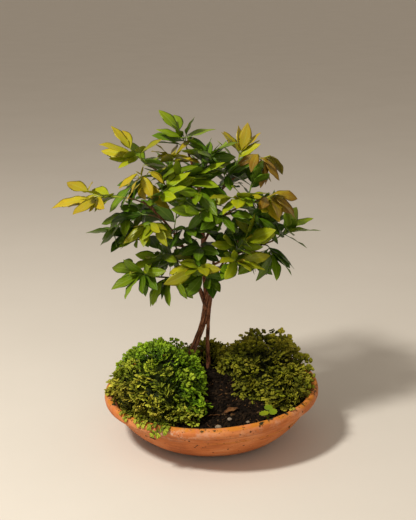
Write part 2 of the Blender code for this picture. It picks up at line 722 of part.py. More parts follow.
def plan_tree():
    """The limbs' paths and, for each shoot, its twig's path, its green stems' paths and its leaves."""
    room = Room()
    limbs = {name: limb_path(points) for name, (_, _, points) in LIMBS.items()}
    for name, (radius, _, _) in LIMBS.items():
        room.add("wood", rough_tube(limbs[name], radius * MM * SQUARE_GROWTH))
    shoots = {name: plan_shoot(room, name, limbs) for name in SHOOTS}
    forks = {}
    for number in range(len(FORKS)):
        for name, (_, stem) in shoots.items():
            fork = plan_fork(room, name, stem, number)
            if fork:
                forks[name, number] = fork
    plan = {}
    for name, (twig, stem) in shoots.items():
        _, _, _, count, size, _, droop = SHOOTS[name]
        leaves = plan_leaves(room, name, stem, count, size, droop)
        stems = [stem]
        for number, (_, _, fork_leaves) in enumerate(FORKS):
            fork = forks.get((name, number))
            if fork:
                stems.append(fork)
                owner = fork_name(name, number)
                leaves += plan_leaves(room, owner, fork, fork_leaves, size * FORK_SIZE, droop)
        plan[name] = (twig, stems, leaves)
    return limbs, plan


# Tree solids

def tube(path, start, end, resolution):
    """A tapered closed tube along the path."""
    curve = bpy.data.curves.new("tube", "CURVE")
    curve.dimensions = "3D"
    curve.bevel_depth = 1
    curve.bevel_resolution = resolution
    curve.use_fill_caps = True
    spline = curve.splines.new("POLY")
    spline.points.add(len(path) - 1)
    for i, (point, place) in enumerate(zip(spline.points, path)):
        share = i / (len(path) - 1)
        point.co = (*place, 1)
        point.radius = start + (end - start) * share ** TAPER
    mesh = baked(helper("tube", curve))
    bpy.data.curves.remove(curve)
    bm = bmesh.new()
    bm.from_mesh(mesh)
    bmesh.ops.remove_doubles(bm, verts=bm.verts, dist=1e-6)
    bmesh.ops.recalc_face_normals(bm, faces=bm.faces)
    return mesh_from(bm)


def lower_wood(limbs, extra=0.0):
    """The stems and the roots, grown by the extra radius."""
    tubes = []
    for name in ("main_stem", "side_stem"):
        start, end, _ = LIMBS[name]
        tubes.append(tube(limbs[name], start * MM + extra, end * MM + extra, STEM_SIDES))
    for start, end, points in ROOTS.values():
        tubes.append(tube(limb_path(points), start * MM * ROOT_FLARE + extra, end * MM + extra, LIMB_SIDES))
    return tubes


def tree_mesh(limbs, plan):
    tubes = lower_wood(limbs)
    for name, (start, end, _) in LIMBS.items():
        if not name.endswith("_stem"):
            tubes.append(tube(limbs[name], start * MM, end * MM, LIMB_SIDES))
    for twig, _, _ in plan.values():
        tubes.append(tube(twig, *TWIG_RADII, TWIG_SIDES))
    return solved(tubes[0], tubes[1:], "UNION")


def shoot_mesh(stems, leaves):
    """One leafy shoot: its green stems joined with its leaves."""
    pieces = [tube(stem, *STEM_RADII, TWIG_SIDES) for stem in stems]
    pieces += [mesh_from(leaf_ball(leaf)) for leaf in leaves]
    return solved(pieces[0], pieces[1:], "UNION")


def shoot_material(tone):
    if tone >= GOLD_TONE:
        return "leaf_gold"
    return "leaf_lime" if tone >= LIME_TONE else "leaf_green"


# Moss and small things

def dome_mesh(dome, fineness, grown=0.0):
    """A bumpy cushion: a ball, flatter below, with its widest ring just over the soil."""
    x, y, half_x, half_y, height = dome
    bm = bmesh.new()
    bmesh.ops.create_icosphere(bm, subdivisions=fineness, radius=1)
    centre = Vector((x * BOWL_RADIUS, y * BOWL_RADIUS, soil_edge_height() + MOSS_FOOT))
    for vertex in bm.verts:
        way = vertex.co.copy()
        down = MOSS_ROOTING if way.z < 0 else height * MM
        place = centre + Vector((way.x * half_x * BOWL_RADIUS, way.y * half_y * BOWL_RADIUS, way.z * down))
        bump = MOSS_BUMP * noise.noise(place / BUMP_SIZE)
        vertex.co = place + way * (bump + grown)
    return lean(mesh_from(bm))


def dome_meshes(name, grown=0.0):
    """A cushion's domes. The first is the large one and the finest."""
    return [dome_mesh(dome, 3 if i == 0 else 2, grown) for i, dome in enumerate(MOSS[name])]


def largest_body(mesh):
    """The mesh without the crumbs that a cut leaves loose beside its main body."""
    bm = bmesh.new()
    bm.from_mesh(mesh)
    left = set(bm.verts)
    bodies = []
    while left:
        body = set()
        front = [next(vertex for vertex in bm.verts if vertex in left)]
        while front:
            vertex = front.pop()
            if vertex in body:
                continue
            body.add(vertex)
            front += [edge.other_vert(vertex) for edge in vertex.link_edges]
        left -= body
        bodies.append(body)
    bodies.sort(key=len)
    for body in bodies[:-1]:
        bmesh.ops.delete(bm, geom=list(body), context="VERTS")
    return mesh_from(bm)


def moss_mesh(name, limbs):
    """A cushion, cut to lie on the ground and clear of the stems and of the cushions before it."""
    domes = dome_meshes(name)
    cushion = solved(domes[0], domes[1:], "UNION") if len(domes) > 1 else domes[0]
    cutters = [ground_cutter()] + lower_wood(limbs, TRUNK_CLEARANCE)
    names = list(MOSS)
    for other in names[:names.index(name)]:
        cutters += dome_meshes(other, 2 * GAP)
    return largest_body(solved(cushion, cutters, "DIFFERENCE"))


def pebble_mesh(name):
    x, y, *half_sizes = PEBBLES[name]
    bm = bmesh.new()
    bmesh.ops.create_icosphere(bm, subdivisions=2, radius=1)
    for vertex in bm.verts:
        dent = 1 + 0.12 * noise.noise(vertex.co * 1.3 + Vector((x, y, 0)))
        vertex.co = Vector([a * b * MM * dent for a, b in zip(vertex.co, half_sizes)])
    lift = soil_height(x * MM, y * MM) + half_sizes[2] * MM * 1.12 + GAP
    bmesh.ops.translate(bm, verts=bm.verts, vec=(x * MM, y * MM, lift))
    return mesh_from(bm)


def seedling_mesh():
    """Three round leaflets on stalks that meet over the soil."""
    x, y = (value * MM for value in SEEDLING_PLACE)
    foot = Vector((x, y, soil_height(x, y) + SOIL_LUMP + GAP))
    pieces = []
    for place in SEEDLING_STALKS:
        top = foot + Vector(place) * MM
        stalk = [foot + UP * STALK_RADIUS, foot.lerp(top, 0.5) + UP * 2 * MM, top]
        pieces.append(tube(stalk, STALK_RADIUS, STALK_RADIUS * 0.8, TWIG_SIDES))
        bm = bmesh.new()
        bmesh.ops.create_uvsphere(bm, u_segments=8, v_segments=3, radius=SEEDLING_LEAF)
        bmesh.ops.scale(bm, verts=bm.verts, vec=SEEDLING_SHAPE)
        bmesh.ops.translate(bm, verts=bm.verts, vec=top)
        pieces.append(mesh_from(bm))
    bm = bmesh.new()
    bmesh.ops.create_icosphere(bm, subdivisions=1, radius=STALK_RADIUS * 1.8)
    bmesh.ops.translate(bm, verts=bm.verts, vec=foot + UP * STALK_RADIUS * 2)
    return solved(mesh_from(bm), pieces, "UNION")


def fallen_leaf_mesh(name):
    """A dry leaf that lies over the soil's crumbs."""
    x, y, degrees, length = FALLEN_LEAVES[name]
    direction = Vector((math.cos(math.radians(degrees)), math.sin(math.radians(degrees)), 0))
    middle = Vector((x * MM, y * MM, 0))
    samples = [middle + direction * length * MM * share for share in (-0.5, -0.25, 0, 0.25, 0.5)]
    height = max(soil_height(point.x, point.y) for point in samples) + SOIL_LUMP
    base = samples[0] + UP * (height + LEAF_HALF_THICKNESS + GAP)
    side, normal = leaf_axes(direction, 0, UP)
    return mesh_from(leaf_ball((base, direction, side, normal, length * MM, 0.0)))


def main():
    clear_scene()
    materials = make_materials()
    parts = new_collection("bonsai_in_bowl")

    add_part(parts, "bowl", bowl_mesh(), materials["terracotta"])
    add_part(parts, "drainage_mesh", drainage_mesh(), materials["drainage_plastic"], smooth=False)
    grit, grit_top = grit_mesh()
    add_part(parts, "drainage_grit", grit, materials["drainage_grit"])

    limbs, plan = plan_tree()
    add_part(parts, "tree_wood", tree_mesh(limbs, plan), materials["bark"])
    soil = solved(soil_mesh(grit_top + GAP), lower_wood(limbs, GAP), "DIFFERENCE")
    add_part(parts, "soil", soil, materials["potting_soil"])

    for name, (_, stems, leaves) in plan.items():
        colour = materials[shoot_material(SHOOTS[name][5])]
        add_part(parts, "shoot_" + name, shoot_mesh(stems, leaves), colour)
    for name in MOSS:
        cushion = moss_mesh(name, limbs)
        colour = "moss_bright" if name == "moss_left" else "moss_dark"
        add_part(parts, name, cushion, materials[colour])
    for name in PEBBLES:
        add_part(parts, name, pebble_mesh(name), materials["pale_stone"])
    add_part(parts, "seedling", seedling_mesh(), materials["leaf_lime"])
    for name in FALLEN_LEAVES:
        add_part(parts, name, fallen_leaf_mesh(name), materials["dry_leaf"])


main()
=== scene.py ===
"""The looks of a young bonsai tree with moss in a shallow clay bowl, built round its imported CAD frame.

Metres, +Z up, the front is -Y. The tree's plan repeats the one that placed the CAD solids, with the same
tables and the same order of random draws, so that each leaf here grows where its CAD solid is.
"""

import math
import random

import bmesh
import bpy
import numpy as np
from mathutils import Matrix, Vector, noise
from mathutils.bvhtree import BVHTree
from mathutils.kdtree import KDTree


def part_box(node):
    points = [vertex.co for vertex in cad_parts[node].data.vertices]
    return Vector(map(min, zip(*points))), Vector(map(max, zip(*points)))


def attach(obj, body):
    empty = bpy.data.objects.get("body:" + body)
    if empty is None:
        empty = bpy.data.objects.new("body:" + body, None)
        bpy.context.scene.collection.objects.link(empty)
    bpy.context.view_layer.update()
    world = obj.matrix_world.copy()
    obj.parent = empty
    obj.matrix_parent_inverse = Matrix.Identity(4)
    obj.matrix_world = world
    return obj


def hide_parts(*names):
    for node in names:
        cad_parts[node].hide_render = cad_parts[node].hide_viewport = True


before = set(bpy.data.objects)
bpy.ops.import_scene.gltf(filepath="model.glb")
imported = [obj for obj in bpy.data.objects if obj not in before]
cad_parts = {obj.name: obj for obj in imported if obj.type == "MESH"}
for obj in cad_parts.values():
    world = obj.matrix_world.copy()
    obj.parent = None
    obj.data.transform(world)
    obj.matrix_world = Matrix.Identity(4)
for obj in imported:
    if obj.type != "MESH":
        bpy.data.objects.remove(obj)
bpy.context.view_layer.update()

MM = 0.001
UP = Vector((0, 0, 1))

# The plan's sizes, as in the CAD
GAP = 0.3 * MM  # between pieces that rest on each other
SOIL_GAP = 0.6 * MM  # between the bowl's wall and what fills it
LEAF_GAP = 0.5 * MM  # the least between a leaf and any other shoot or wood
BOWL_RADIUS = 140 * MM
BOWL_HEIGHT = 68 * MM
FOOT_RADIUS = 58 * MM
FOOT_EDGE = 2 * MM  # height of the small step round the flat foot
WALL = 8 * MM
FLOOR = 8 * MM
LIP_HEIGHT = 14 * MM
LIP_DEPTH = 5 * MM  # half the lip's width
GROOVE = 2.5 * MM  # how far the neck under the lip is set back
BOWL_CURVE = 2.4  # higher is flatter at the foot and steeper at the neck
RIM_TILT = 0.045  # how much the hand-thrown rim rises per length to the right
WALL_RINGS = 5

DRAIN_COUNT = 3
DRAIN_RADIUS = 6 * MM
DRAIN_CIRCLE = 24 * MM  # from the axis to each hole's centre

SOIL_DROP = 10 * MM  # from the rim down to the soil's edge
SOIL_MOUND = 19 * MM  # how much higher the soil is at the stems
MOUND_CENTRE = (-18 * MM, 34 * MM)
MOUND_SPREAD = 40 * MM
SOIL_LUMP = 1.2 * MM
LUMP_SIZE = 14 * MM

LEAF_WIDTH_SHARE = 0.43  # of a leaf's length
LEAF_WIDEST = 0.44  # where the leaf is widest, from its base to its tip
CROWN_CENTRE = (-5, 34, 170)  # as the limbs' points
LEAF_OUTLOOK = 1.5  # how strongly the leaves' upper faces look away from the crown's centre
LEAF_HALF_THICKNESS = 0.45 * MM
TWIG_RADII = (1.1 * MM, 0.8 * MM)
STEM_RADII = (0.75 * MM, 0.5 * MM)
WOOD_SHARE = 0.4  # of a shoot's path from its limb to its tip
FORKS = ((0.3, 0.65, 4), (0.62, 0.5, 3))  # of the green stem: a side stem's start, length, and its leaves
FORK_LENGTHS = (14 * MM, 34 * MM)  # a side stem's shortest and longest
FORK_ANGLES = (0.6, 1.2)  # radians from the green stem
FORK_SIZE = 0.9  # of the shoot's leaf length
LEAF_SHARES = (0.12, 0.93)  # of the green stem, the lowest and the highest side leaf
END_LEAF_SHARE = 0.97  # where the end leaf starts, inside the stem
LEAF_TRIES = 14
STEM_TRIES = 20
WORST_LEAN = 2.2  # in radians, how far a leaf may turn while it looks for room
SQUARE_GROWTH = 1.42  # a square ring this much wider holds a round one

# Limbs: radius at the start and the end, then points. Millimetres, x and y from the bowl's axis and z above
# the soil at the stems. Each limb but the stems starts inside the limb that it grows from.
LIMBS = {
    "main_stem": (4.7, 1.3, [
        (-38, 28, -22), (-32, 30, 8), (-21, 34, 36), (-11, 36, 65), (-7, 35, 103), (-10, 33, 144),
        (-11, 32, 186), (-13, 34, 226), (-20, 34, 262), (-31, 33, 298)]),
    "side_stem": (2.9, 1.7, [
        (-8, 40, -20), (-4, 37, 8), (-5, 37, 37), (-3.5, 36, 74), (-1, 36, 96), (1, 37, 120),
        (3, 40, 151)]),
    "left_limb": (2.4, 1.1, [
        (-8, 35, 87), (-15, 30, 110), (-28, 20, 138), (-36, 9, 175), (-57, -3, 210), (-84, -20, 242)]),
    "left_low": (1.5, 1.0, [(-23, 24, 126), (-47, 10, 134), (-72, -6, 141)]),
    "left_mid": (1.7, 1.0, [(-10, 32, 162), (-45, 46, 168), (-93, 45, 175)]),
    "right_limb": (1.9, 1.0, [(-11, 32, 174), (4, 20, 203), (26, 3, 225), (52, -14, 240)]),
    "upper_right": (1.7, 1.0, [(-12, 33, 209), (12, 28, 245), (51, 19, 284)]),
    "right_low": (1.6, 1.0, [(2, 39, 143), (31, 41, 157), (80, 38, 176)]),
    "front_low": (1.6, 1.0, [(-8, 34, 126), (3, 5, 145), (20, -24, 160)]),
    "top_left": (1.6, 1.0, [(-13, 34, 221), (-41, 25, 252), (-71, 15, 275)]),
    "top_mid": (1.5, 1.0, [(-13, 34, 219), (-7, 22, 256), (-8, 18, 274)]),
    "rear_left": (1.7, 1.0, [(-8, 36, 98), (-24, 62, 122), (-46, 88, 150), (-58, 98, 178)]),
    "rear_right": (1.6, 1.0, [(2, 38, 122), (18, 60, 144), (44, 86, 176)]),
    "rear_mid": (1.6, 1.0, [(-11, 32, 188), (-12, 56, 210), (-14, 86, 238)]),
}
ROOTS = {
    "root_left": (2.6, 0.9, [(-34, 29, -6), (-56, 30, -14), (-84, 22, -26)]),
    "root_front": (2.5, 0.9, [(-34, 29, -8), (-40, 8, -17), (-36, -22, -27)]),
    "root_rear": (2.4, 0.9, [(-34, 29, -9), (-38, 52, -18), (-30, 78, -28)]),
    "root_inner": (2.3, 0.9, [(-34, 29, -12), (-16, 22, -22), (6, 8, -32)]),
    "root_right": (2.0, 0.8, [(-6, 39, -8), (16, 36, -18), (46, 26, -30)]),
    "root_back": (1.9, 0.8, [(-6, 39, -10), (2, 58, -20), (18, 76, -30)]),
}
POINT_SPACING = 22 * MM  # along a limb
TAPER = 1.4  # over 1 a limb keeps its thickness for longer
ROOT_FLARE = 1.35  # how much thicker the stems are where they meet the roots

# Shoots: limb, how far along it, tip (as the limbs' points), leaves, leaf length in millimetres,
# tone (0 mature green, 0.6 lime, 1 golden) and droop (0 upright to 1 hanging).
SHOOTS = {
    "far_left": ("left_limb", 0.97, (-150, -30, 247), 8, 41, 0.80, 0.25),
    "left_gold": ("left_limb", 0.86, (-84, -42, 280), 6, 32, 1.00, 0.90),
    "left_dark": ("left_limb", 0.80, (-104, 4, 218), 7, 38, 0.25, 0.30),
    "left_yellow": ("left_limb", 0.70, (-84, -34, 214), 6, 31, 0.70, 0.50),
    "front_upper_left": ("left_limb", 0.92, (-60, -56, 258), 7, 36, 0.50, 0.10),
    "front_core": ("left_limb", 0.62, (-30, -44, 212), 7, 34, 0.15, 0.30),
    "left_pale": ("left_limb", 0.35, (-74, -4, 164), 7, 34, 0.50, 0.40),
    "left_low_core": ("left_limb", 0.28, (-56, 28, 154), 6, 32, 0.20, 0.40),
    "upper_left": ("top_left", 0.96, (-99, 0, 297), 6, 38, 0.75, 0.10),
    "left_shade": ("top_left", 0.86, (-102, 16, 252), 7, 36, 0.20, 0.30),
    "crown_left": ("top_left", 0.74, (-46, 0, 293), 7, 36, 0.85, 0.50),
    "inner_left": ("top_left", 0.52, (-62, -16, 272), 7, 36, 0.45, 0.10),
    "long_lime": ("top_left", 0.38, (-29, -26, 268), 7, 42, 0.50, 0.00),
    "top": ("main_stem", 0.97, (-37, 18, 316), 6, 38, 0.45, 0.20),
    "front_low_core": ("main_stem", 0.56, (-14, -28, 184), 7, 33, 0.20, 0.30),
    "top_front": ("top_mid", 0.95, (1, -2, 297), 7, 38, 0.40, 0.10),
    "front_upper": ("top_mid", 0.50, (-16, -42, 256), 7, 36, 0.40, 0.10),
    "upper_right_tip": ("upper_right", 0.96, (66, 10, 290), 7, 33, 1.00, 0.90),
    "top_right": ("upper_right", 0.66, (37, 26, 297), 7, 35, 0.75, 0.00),
    "upper_right_inner": ("upper_right", 0.42, (22, 4, 272), 7, 38, 0.25, 0.10),
    "right_tip": ("right_limb", 0.96, (76, -24, 248), 7, 36, 0.90, 0.60),
    "right_upper_mid": ("right_limb", 0.86, (50, -2, 262), 7, 38, 0.20, 0.10),
    "right_lime": ("right_limb", 0.74, (32, -42, 250), 6, 35, 0.60, 0.20),
    "right_dark": ("right_limb", 0.56, (58, 14, 212), 7, 38, 0.12, 0.40),
    "front_right_upper": ("right_limb", 0.48, (10, -46, 232), 7, 34, 0.30, 0.20),
    "front_mid": ("right_limb", 0.30, (-16, -60, 238), 7, 35, 0.40, 0.20),
    "low_right_tip": ("right_low", 0.96, (99, 24, 192), 8, 38, 0.45, 0.20),
    "low_right_hang": ("right_low", 0.82, (78, 2, 168), 7, 38, 0.25, 0.60),
    "low_right_upper": ("right_low", 0.66, (68, 30, 206), 7, 40, 0.20, 0.30),
    "front_right": ("front_low", 0.96, (32, -44, 172), 7, 34, 0.70, 0.30),
    "front_left": ("front_low", 0.84, (-24, -40, 160), 6, 34, 0.75, 0.35),
    "right_front": ("front_low", 0.70, (44, -36, 196), 7, 38, 0.65, 0.20),
    "low_centre": ("front_low", 0.42, (-12, -8, 142), 5, 32, 0.30, 0.35),
    "low_left_tip": ("left_low", 0.95, (-92, -16, 146), 7, 36, 0.35, 0.30),
    "low_left_hang": ("left_low", 0.60, (-55, -10, 138), 6, 36, 0.40, 0.90),
    "left_long": ("left_mid", 0.96, (-124, 40, 188), 8, 37, 0.35, 0.30),
    "left_twig": ("left_mid", 0.66, (-94, 16, 192), 7, 35, 0.45, 0.40),
    "right_core": ("side_stem", 0.97, (20, 8, 194), 8, 34, 0.15, 0.30),
    "rear_left_tip": ("rear_left", 0.96, (-84, 104, 196), 8, 38, 0.20, 0.20),
    "rear_left_low": ("rear_left", 0.62, (-64, 84, 146), 7, 36, 0.15, 0.40),
    "rear_left_upper": ("rear_left", 0.80, (-42, 98, 218), 8, 37, 0.25, 0.10),
    "rear_right_tip": ("rear_right", 0.96, (72, 94, 202), 8, 38, 0.25, 0.20),
    "rear_right_low": ("rear_right", 0.56, (48, 80, 148), 7, 36, 0.15, 0.40),
    "rear_mid_tip": ("rear_mid", 0.96, (-10, 102, 262), 8, 38, 0.30, 0.10),
    "rear_mid_left": ("rear_mid", 0.72, (-54, 70, 260), 8, 37, 0.30, 0.20),
    "rear_mid_right": ("rear_mid", 0.60, (34, 68, 254), 8, 37, 0.25, 0.10),
}

# Small things on the soil: x and y, then half-sizes in millimetres
PEBBLES = {
    "pebble_front": (8, -117, 4.2, 3.2, 2.6),
    "pebble_middle": (22, -96, 3.2, 2.6, 2.2),
    "pebble_side": (44, -104, 2.6, 2.2, 1.8),
}
SEEDLING_PLACE = (69, -93)  # millimetres
SEEDLING_STALKS = [(-5, -6, 9), (6, -4, 10), (1, 6, 11)]  # leaf centres from the foot, millimetres
STALK_RADIUS = 0.6 * MM
FALLEN_LEAVES = {
    "fallen_leaf_front": (26, -70, 30, 26),
    "fallen_leaf_side": (2, -84, 200, 20),
}  # x, y, heading in degrees and length in millimetres

LIME_TONE = 0.48  # shoots from this tone up are lime
GOLD_TONE = 0.8  # and from this one golden


# The bowl and the soil, as in the CAD


def rim_lift(x, z):
    """How much the tilted rim raises a point of the bowl or of what is in it."""
    return RIM_TILT * x * z / BOWL_HEIGHT


def wall_point(t, inward):
    """A point of the wall from the foot (0) to the neck (1), this far in from the outer face."""
    neck_radius = BOWL_RADIUS - LIP_DEPTH - GROOVE
    run = neck_radius - FOOT_RADIUS
    rise = BOWL_HEIGHT - LIP_HEIGHT - FOOT_EDGE
    slope = rise * BOWL_CURVE * t ** (BOWL_CURVE - 1) / run
    normal = Vector((-slope, 1)).normalized()
    outer = Vector((FOOT_RADIUS + run * t, FOOT_EDGE + rise * t ** BOWL_CURVE))
    return outer + normal * inward


def inner_point(t, extra=0.0):
    return wall_point(t, FLOOR + (WALL - FLOOR) * t + extra)


def ring_values(start, end, count):
    return [start + (end - start) * i / (count - 1) for i in range(count)]


def inner_rings(extra=0.0):
    return [inner_point(t, extra) for t in ring_values(0, 1, WALL_RINGS)]


def inner_at(height, extra=0.0):
    """The point of the bowl's faceted inner face at this height, moved in by the extra."""
    rings = inner_rings(extra)
    for lower, upper in zip(rings, rings[1:]):
        if height <= upper.y:
            return lower.lerp(upper, max(0, height - lower.y) / (upper.y - lower.y))
    return Vector((rings[-1].x, height))


def floor_height():
    return inner_point(0).y


def soil_edge_height():
    return BOWL_HEIGHT - SOIL_DROP


def drain_centres():
    angles = [math.radians(90 + 360 * i / DRAIN_COUNT) for i in range(DRAIN_COUNT)]
    return [Vector((math.cos(a) * DRAIN_CIRCLE, math.sin(a) * DRAIN_CIRCLE, 0)) for a in angles]


def soil_rise(x, y):
    """How much higher the soil is here than at its edge."""
    radius = math.hypot(x, y) / inner_at(soil_edge_height()).x
    distance = math.hypot(x - MOUND_CENTRE[0], y - MOUND_CENTRE[1])
    mound = SOIL_MOUND * math.exp(-(distance / MOUND_SPREAD) ** 2 / 2)
    lumps = SOIL_LUMP * noise.noise(Vector((x, y, 0)) / LUMP_SIZE)
    return (mound + lumps) * (1 - min(radius, 1) ** 6)


def soil_height(x, y):
    """The soil's surface, with the rim's tilt."""
    height = soil_edge_height() + soil_rise(x, y)
    return height + rim_lift(x, height)


# The tree's plan, as in the CAD. Nothing here makes an object.


def tree_place(point):
    """A point of the tables, in metres over the soil at the stems."""
    crown = soil_height(*MOUND_CENTRE)
    return Vector((point[0] * MM, point[1] * MM, point[2] * MM + crown))


def smooth_path(points, count):
    """This many points, evenly spaced along a Catmull-Rom curve through the given ones."""
    ends = [points[0] * 2 - points[1]] + list(points) + [points[-1] * 2 - points[-2]]
    fine = []
    for i in range(len(points) - 1):
        a, b, c, d = ends[i:i + 4]
        for k in range(8):
            t = k / 8
            fine.append(
                (b * 2 + (c - a) * t + (a * 2 - b * 5 + c * 4 - d) * t ** 2
                 + (b * 3 - a - c * 3 + d) * t ** 3) / 2)
    fine.append(points[-1])
    return [along(fine, i / (count - 1)) for i in range(count)]


def path_length(path):
    return sum((b - a).length for a, b in zip(path, path[1:]))


def along(path, share):
    """The point this share of the way along the path."""
    left = path_length(path) * share
    for a, b in zip(path, path[1:]):
        step = (b - a).length
        if left <= step:
            return a.lerp(b, left / step)
        left -= step
    return path[-1].copy()


def heading(path, share):
    step = 0.04
    return (along(path, min(share + step, 1)) - along(path, max(share - step, 0))).normalized()


def limb_path(points):
    placed = [tree_place(point) for point in points]
    return smooth_path(placed, max(4, round(path_length(placed) / POINT_SPACING)))


def shoot_path(limb, share, tip):
    """The curve from a limb out to the shoot's tip: first along the limb, then bending up."""
    start = along(limb, share)
    length = (tip - start).length
    first = start + heading(limb, share) * length * 0.22 + (tip - start) * 0.12
    second = tip - (tip - start) * 0.35 + UP * length * 0.10
    curve = []
    for i in range(13):
        t = i / 12
        s = 1 - t
        curve.append(start * s ** 3 + first * 3 * t * s ** 2 + second * 3 * t ** 2 * s + tip * t ** 3)
    return curve


def part_of(path, start, end, count):
    return [along(path, share) for share in ring_values(start, end, count)]


def rough_tube(path, radius):
    """A tube of square rings for clearance tests."""
    bm = bmesh.new()
    rings = []
    for i, point in enumerate(path):
        direction = heading(path, i / (len(path) - 1))
        side = direction.orthogonal().normalized() * radius
        other = direction.cross(side)
        rings.append([bm.verts.new(point + offset) for offset in (side, other, -side, -other)])
    for ring, after in zip(rings, rings[1:]):
        for k in range(4):
            bm.faces.new((ring[k - 1], ring[k], after[k], after[k - 1]))
    return bm


class Room:
    """What is already placed, so that the next piece can keep clear of it."""

    def __init__(self):
        self.placed = []

    def solid(self, owner, bm):
        centre = sum((vertex.co for vertex in bm.verts), Vector()) / len(bm.verts)
        reach = max((vertex.co - centre).length for vertex in bm.verts)
        tree = BVHTree.FromBMesh(bm)
        bm.free()
        return owner, centre, reach, tree

    def add(self, owner, bm):
        self.placed.append(self.solid(owner, bm))

    def free(self, bm, ignored):
        """Whether the shape touches nothing but what the ignored owners hold."""
        _, centre, reach, tree = self.solid(None, bm)
        for owner, other_centre, other_reach, other in self.placed:
            if owner in ignored or (centre - other_centre).length > reach + other_reach:
                continue
            if tree.overlap(other):
                return False
        return True


def leaf_axes(direction, roll, outlook):
    """The blade's side and upper normal. The upper face turns to the outlook unless the leaf is rolled."""
    level = outlook - direction * outlook.dot(direction)
    if level.length < 0.1:
        level = direction.orthogonal()
    normal = Matrix.Rotation(roll, 3, direction) @ level.normalized()
    return direction.cross(normal), normal


def leaf_half_width(u):
    """Half the blade's width this share of the way to the tip, as a share of its greatest half-width."""
    return math.sin(math.pi * min(max(u, 0), 1) ** 0.85) ** 1.1


def leaf_point(leaf, u, across, lift):
    """A point of the leaf: u from base to tip, across from -1 to 1 of its half-width, lift in metres."""
    base, direction, side, normal, length, arch = leaf
    half = length * LEAF_WIDTH_SHARE / 2
    return base + direction * length * u + side * half * across + normal * (lift - arch * length * u * u)


def leaf_ball(leaf, grown=0.0):
    """The leaf as a coarse ball pulled into a thin lens, with its poles at the leaf's base and tip."""
    bm = bmesh.new()
    bmesh.ops.create_uvsphere(bm, u_segments=4, v_segments=2, radius=1)
    length = leaf[4]
    half = length * LEAF_WIDTH_SHARE / 2
    for vertex in bm.verts:
        across, rise, down = vertex.co
        u = LEAF_WIDEST * (1 - down) if down > 0 else LEAF_WIDEST - down * (1 - LEAF_WIDEST)
        ring = math.hypot(across, rise)
        width = leaf_half_width(u) + grown / half
        if ring > 0.01:
            across *= width / ring
            rise *= (LEAF_HALF_THICKNESS + grown) / ring
        vertex.co = leaf_point(leaf, u * (1 + grown / length), across, rise)
    return bm


def leaf_try(rng, stem, share, turn, size, droop, looseness):
    """One leaf at this share of the stem. Its turn is -1 or 1 for its side and 0 at the stem's end."""
    direction = heading(stem, share)
    side = direction.cross(UP)
    if side.length < 0.3:
        side = Vector((1, 0, 0))
    side = Matrix.Rotation(rng.uniform(-0.5, 0.5) * (1 + looseness), 3, direction) @ side.normalized()
    spread = turn * math.radians(rng.uniform(42, 62) - 16 * share) + rng.uniform(-0.5, 0.5) * looseness
    pointing = direction * math.cos(spread) + side * math.sin(spread)
    pointing += UP * (rng.uniform(-0.1, 0.2) - 1.3 * droop ** 1.5)
    pointing.normalize()
    base = along(stem, share)
    outlook = UP + (base - tree_place(CROWN_CENTRE)).normalized() * LEAF_OUTLOOK
    side, normal = leaf_axes(pointing, rng.uniform(-0.6, 0.6) * (1 + looseness), outlook)
    length = size * MM * rng.uniform(0.82, 1.1)
    arch = rng.uniform(0.04, 0.16) + 0.1 * droop
    return base, pointing, side, normal, length, arch


def plan_leaves(room, owner, stem, count, size, droop):
    """A leaf at the stem's end and others on alternate sides below it, each where there is room."""
    rng = random.Random(owner)
    leaves = []
    shares = [END_LEAF_SHARE] + ring_values(*LEAF_SHARES, count - 1)[::-1]
    turn = rng.choice((-1, 1))
    for share in shares:
        turn = -turn
        for attempt in range(LEAF_TRIES):
            looseness = WORST_LEAN * attempt / LEAF_TRIES
            side = 0 if share == END_LEAF_SHARE else turn
            leaf = leaf_try(rng, stem, share, side, size * (1 - 0.02 * attempt), droop, looseness)
            if room.free(leaf_ball(leaf, LEAF_GAP), (owner,)):
                leaves.append(leaf)
                room.add("leaf", leaf_ball(leaf))
                break
    return leaves


def plan_shoot(room, name, limbs):
    """The twig and the green stem of a shoot, moved a little where they would touch another shoot."""
    limb, share, tip, _, _, _, _ = SHOOTS[name]
    rng = random.Random(name + " stem")
    for attempt in range(STEM_TRIES):
        reach = attempt * MM
        moved = tree_place(tip) + Vector([rng.uniform(-reach, reach) for _ in range(3)])
        path = shoot_path(limbs[limb], share, moved)
        joint = GAP / path_length(path)
        twig = part_of(path, 0, WOOD_SHARE, 3)
        stem = part_of(path, WOOD_SHARE + joint, 1, 4)
        grown = rough_tube(stem, STEM_RADII[0] * SQUARE_GROWTH + LEAF_GAP)
        twig_grown = rough_tube(twig, TWIG_RADII[0] * SQUARE_GROWTH + LEAF_GAP)
        if room.free(grown, ()) and room.free(twig_grown, ("wood",)):
            break
    room.add("wood", rough_tube(twig, TWIG_RADII[0] * SQUARE_GROWTH))
    room.add(name, rough_tube(stem, STEM_RADII[0] * SQUARE_GROWTH))
    return twig, stem


def fork_name(name, number):
    return f"{name}_fork{number}"


def plan_fork(room, name, stem, number):
    """A side stem of a shoot, on the side that has room, or None where neither has."""
    place, share, _ = FORKS[number]
    rng = random.Random(fork_name(name, number))
    length = min(max(path_length(stem) * share, FORK_LENGTHS[0]), FORK_LENGTHS[1])
    start = along(stem, place)
    direction = heading(stem, place)
    turn = rng.choice((-1, 1))
    for _ in range(STEM_TRIES):
        turn = -turn
        angle = turn * rng.uniform(*FORK_ANGLES)
        out = Matrix.Rotation(angle, 3, UP) @ direction + UP * rng.uniform(-0.3, 0.4)
        tip = start + out.normalized() * length
        middle = start.lerp(tip, 0.5) + direction * length * 0.12
        fork = [start, middle, tip]
        grown = rough_tube(fork, STEM_RADII[0] * SQUARE_GROWTH + LEAF_GAP)
        if room.free(grown, (name,)):
            room.add(fork_name(name, number), rough_tube(fork, STEM_RADII[0] * SQUARE_GROWTH))
            return fork
    return None


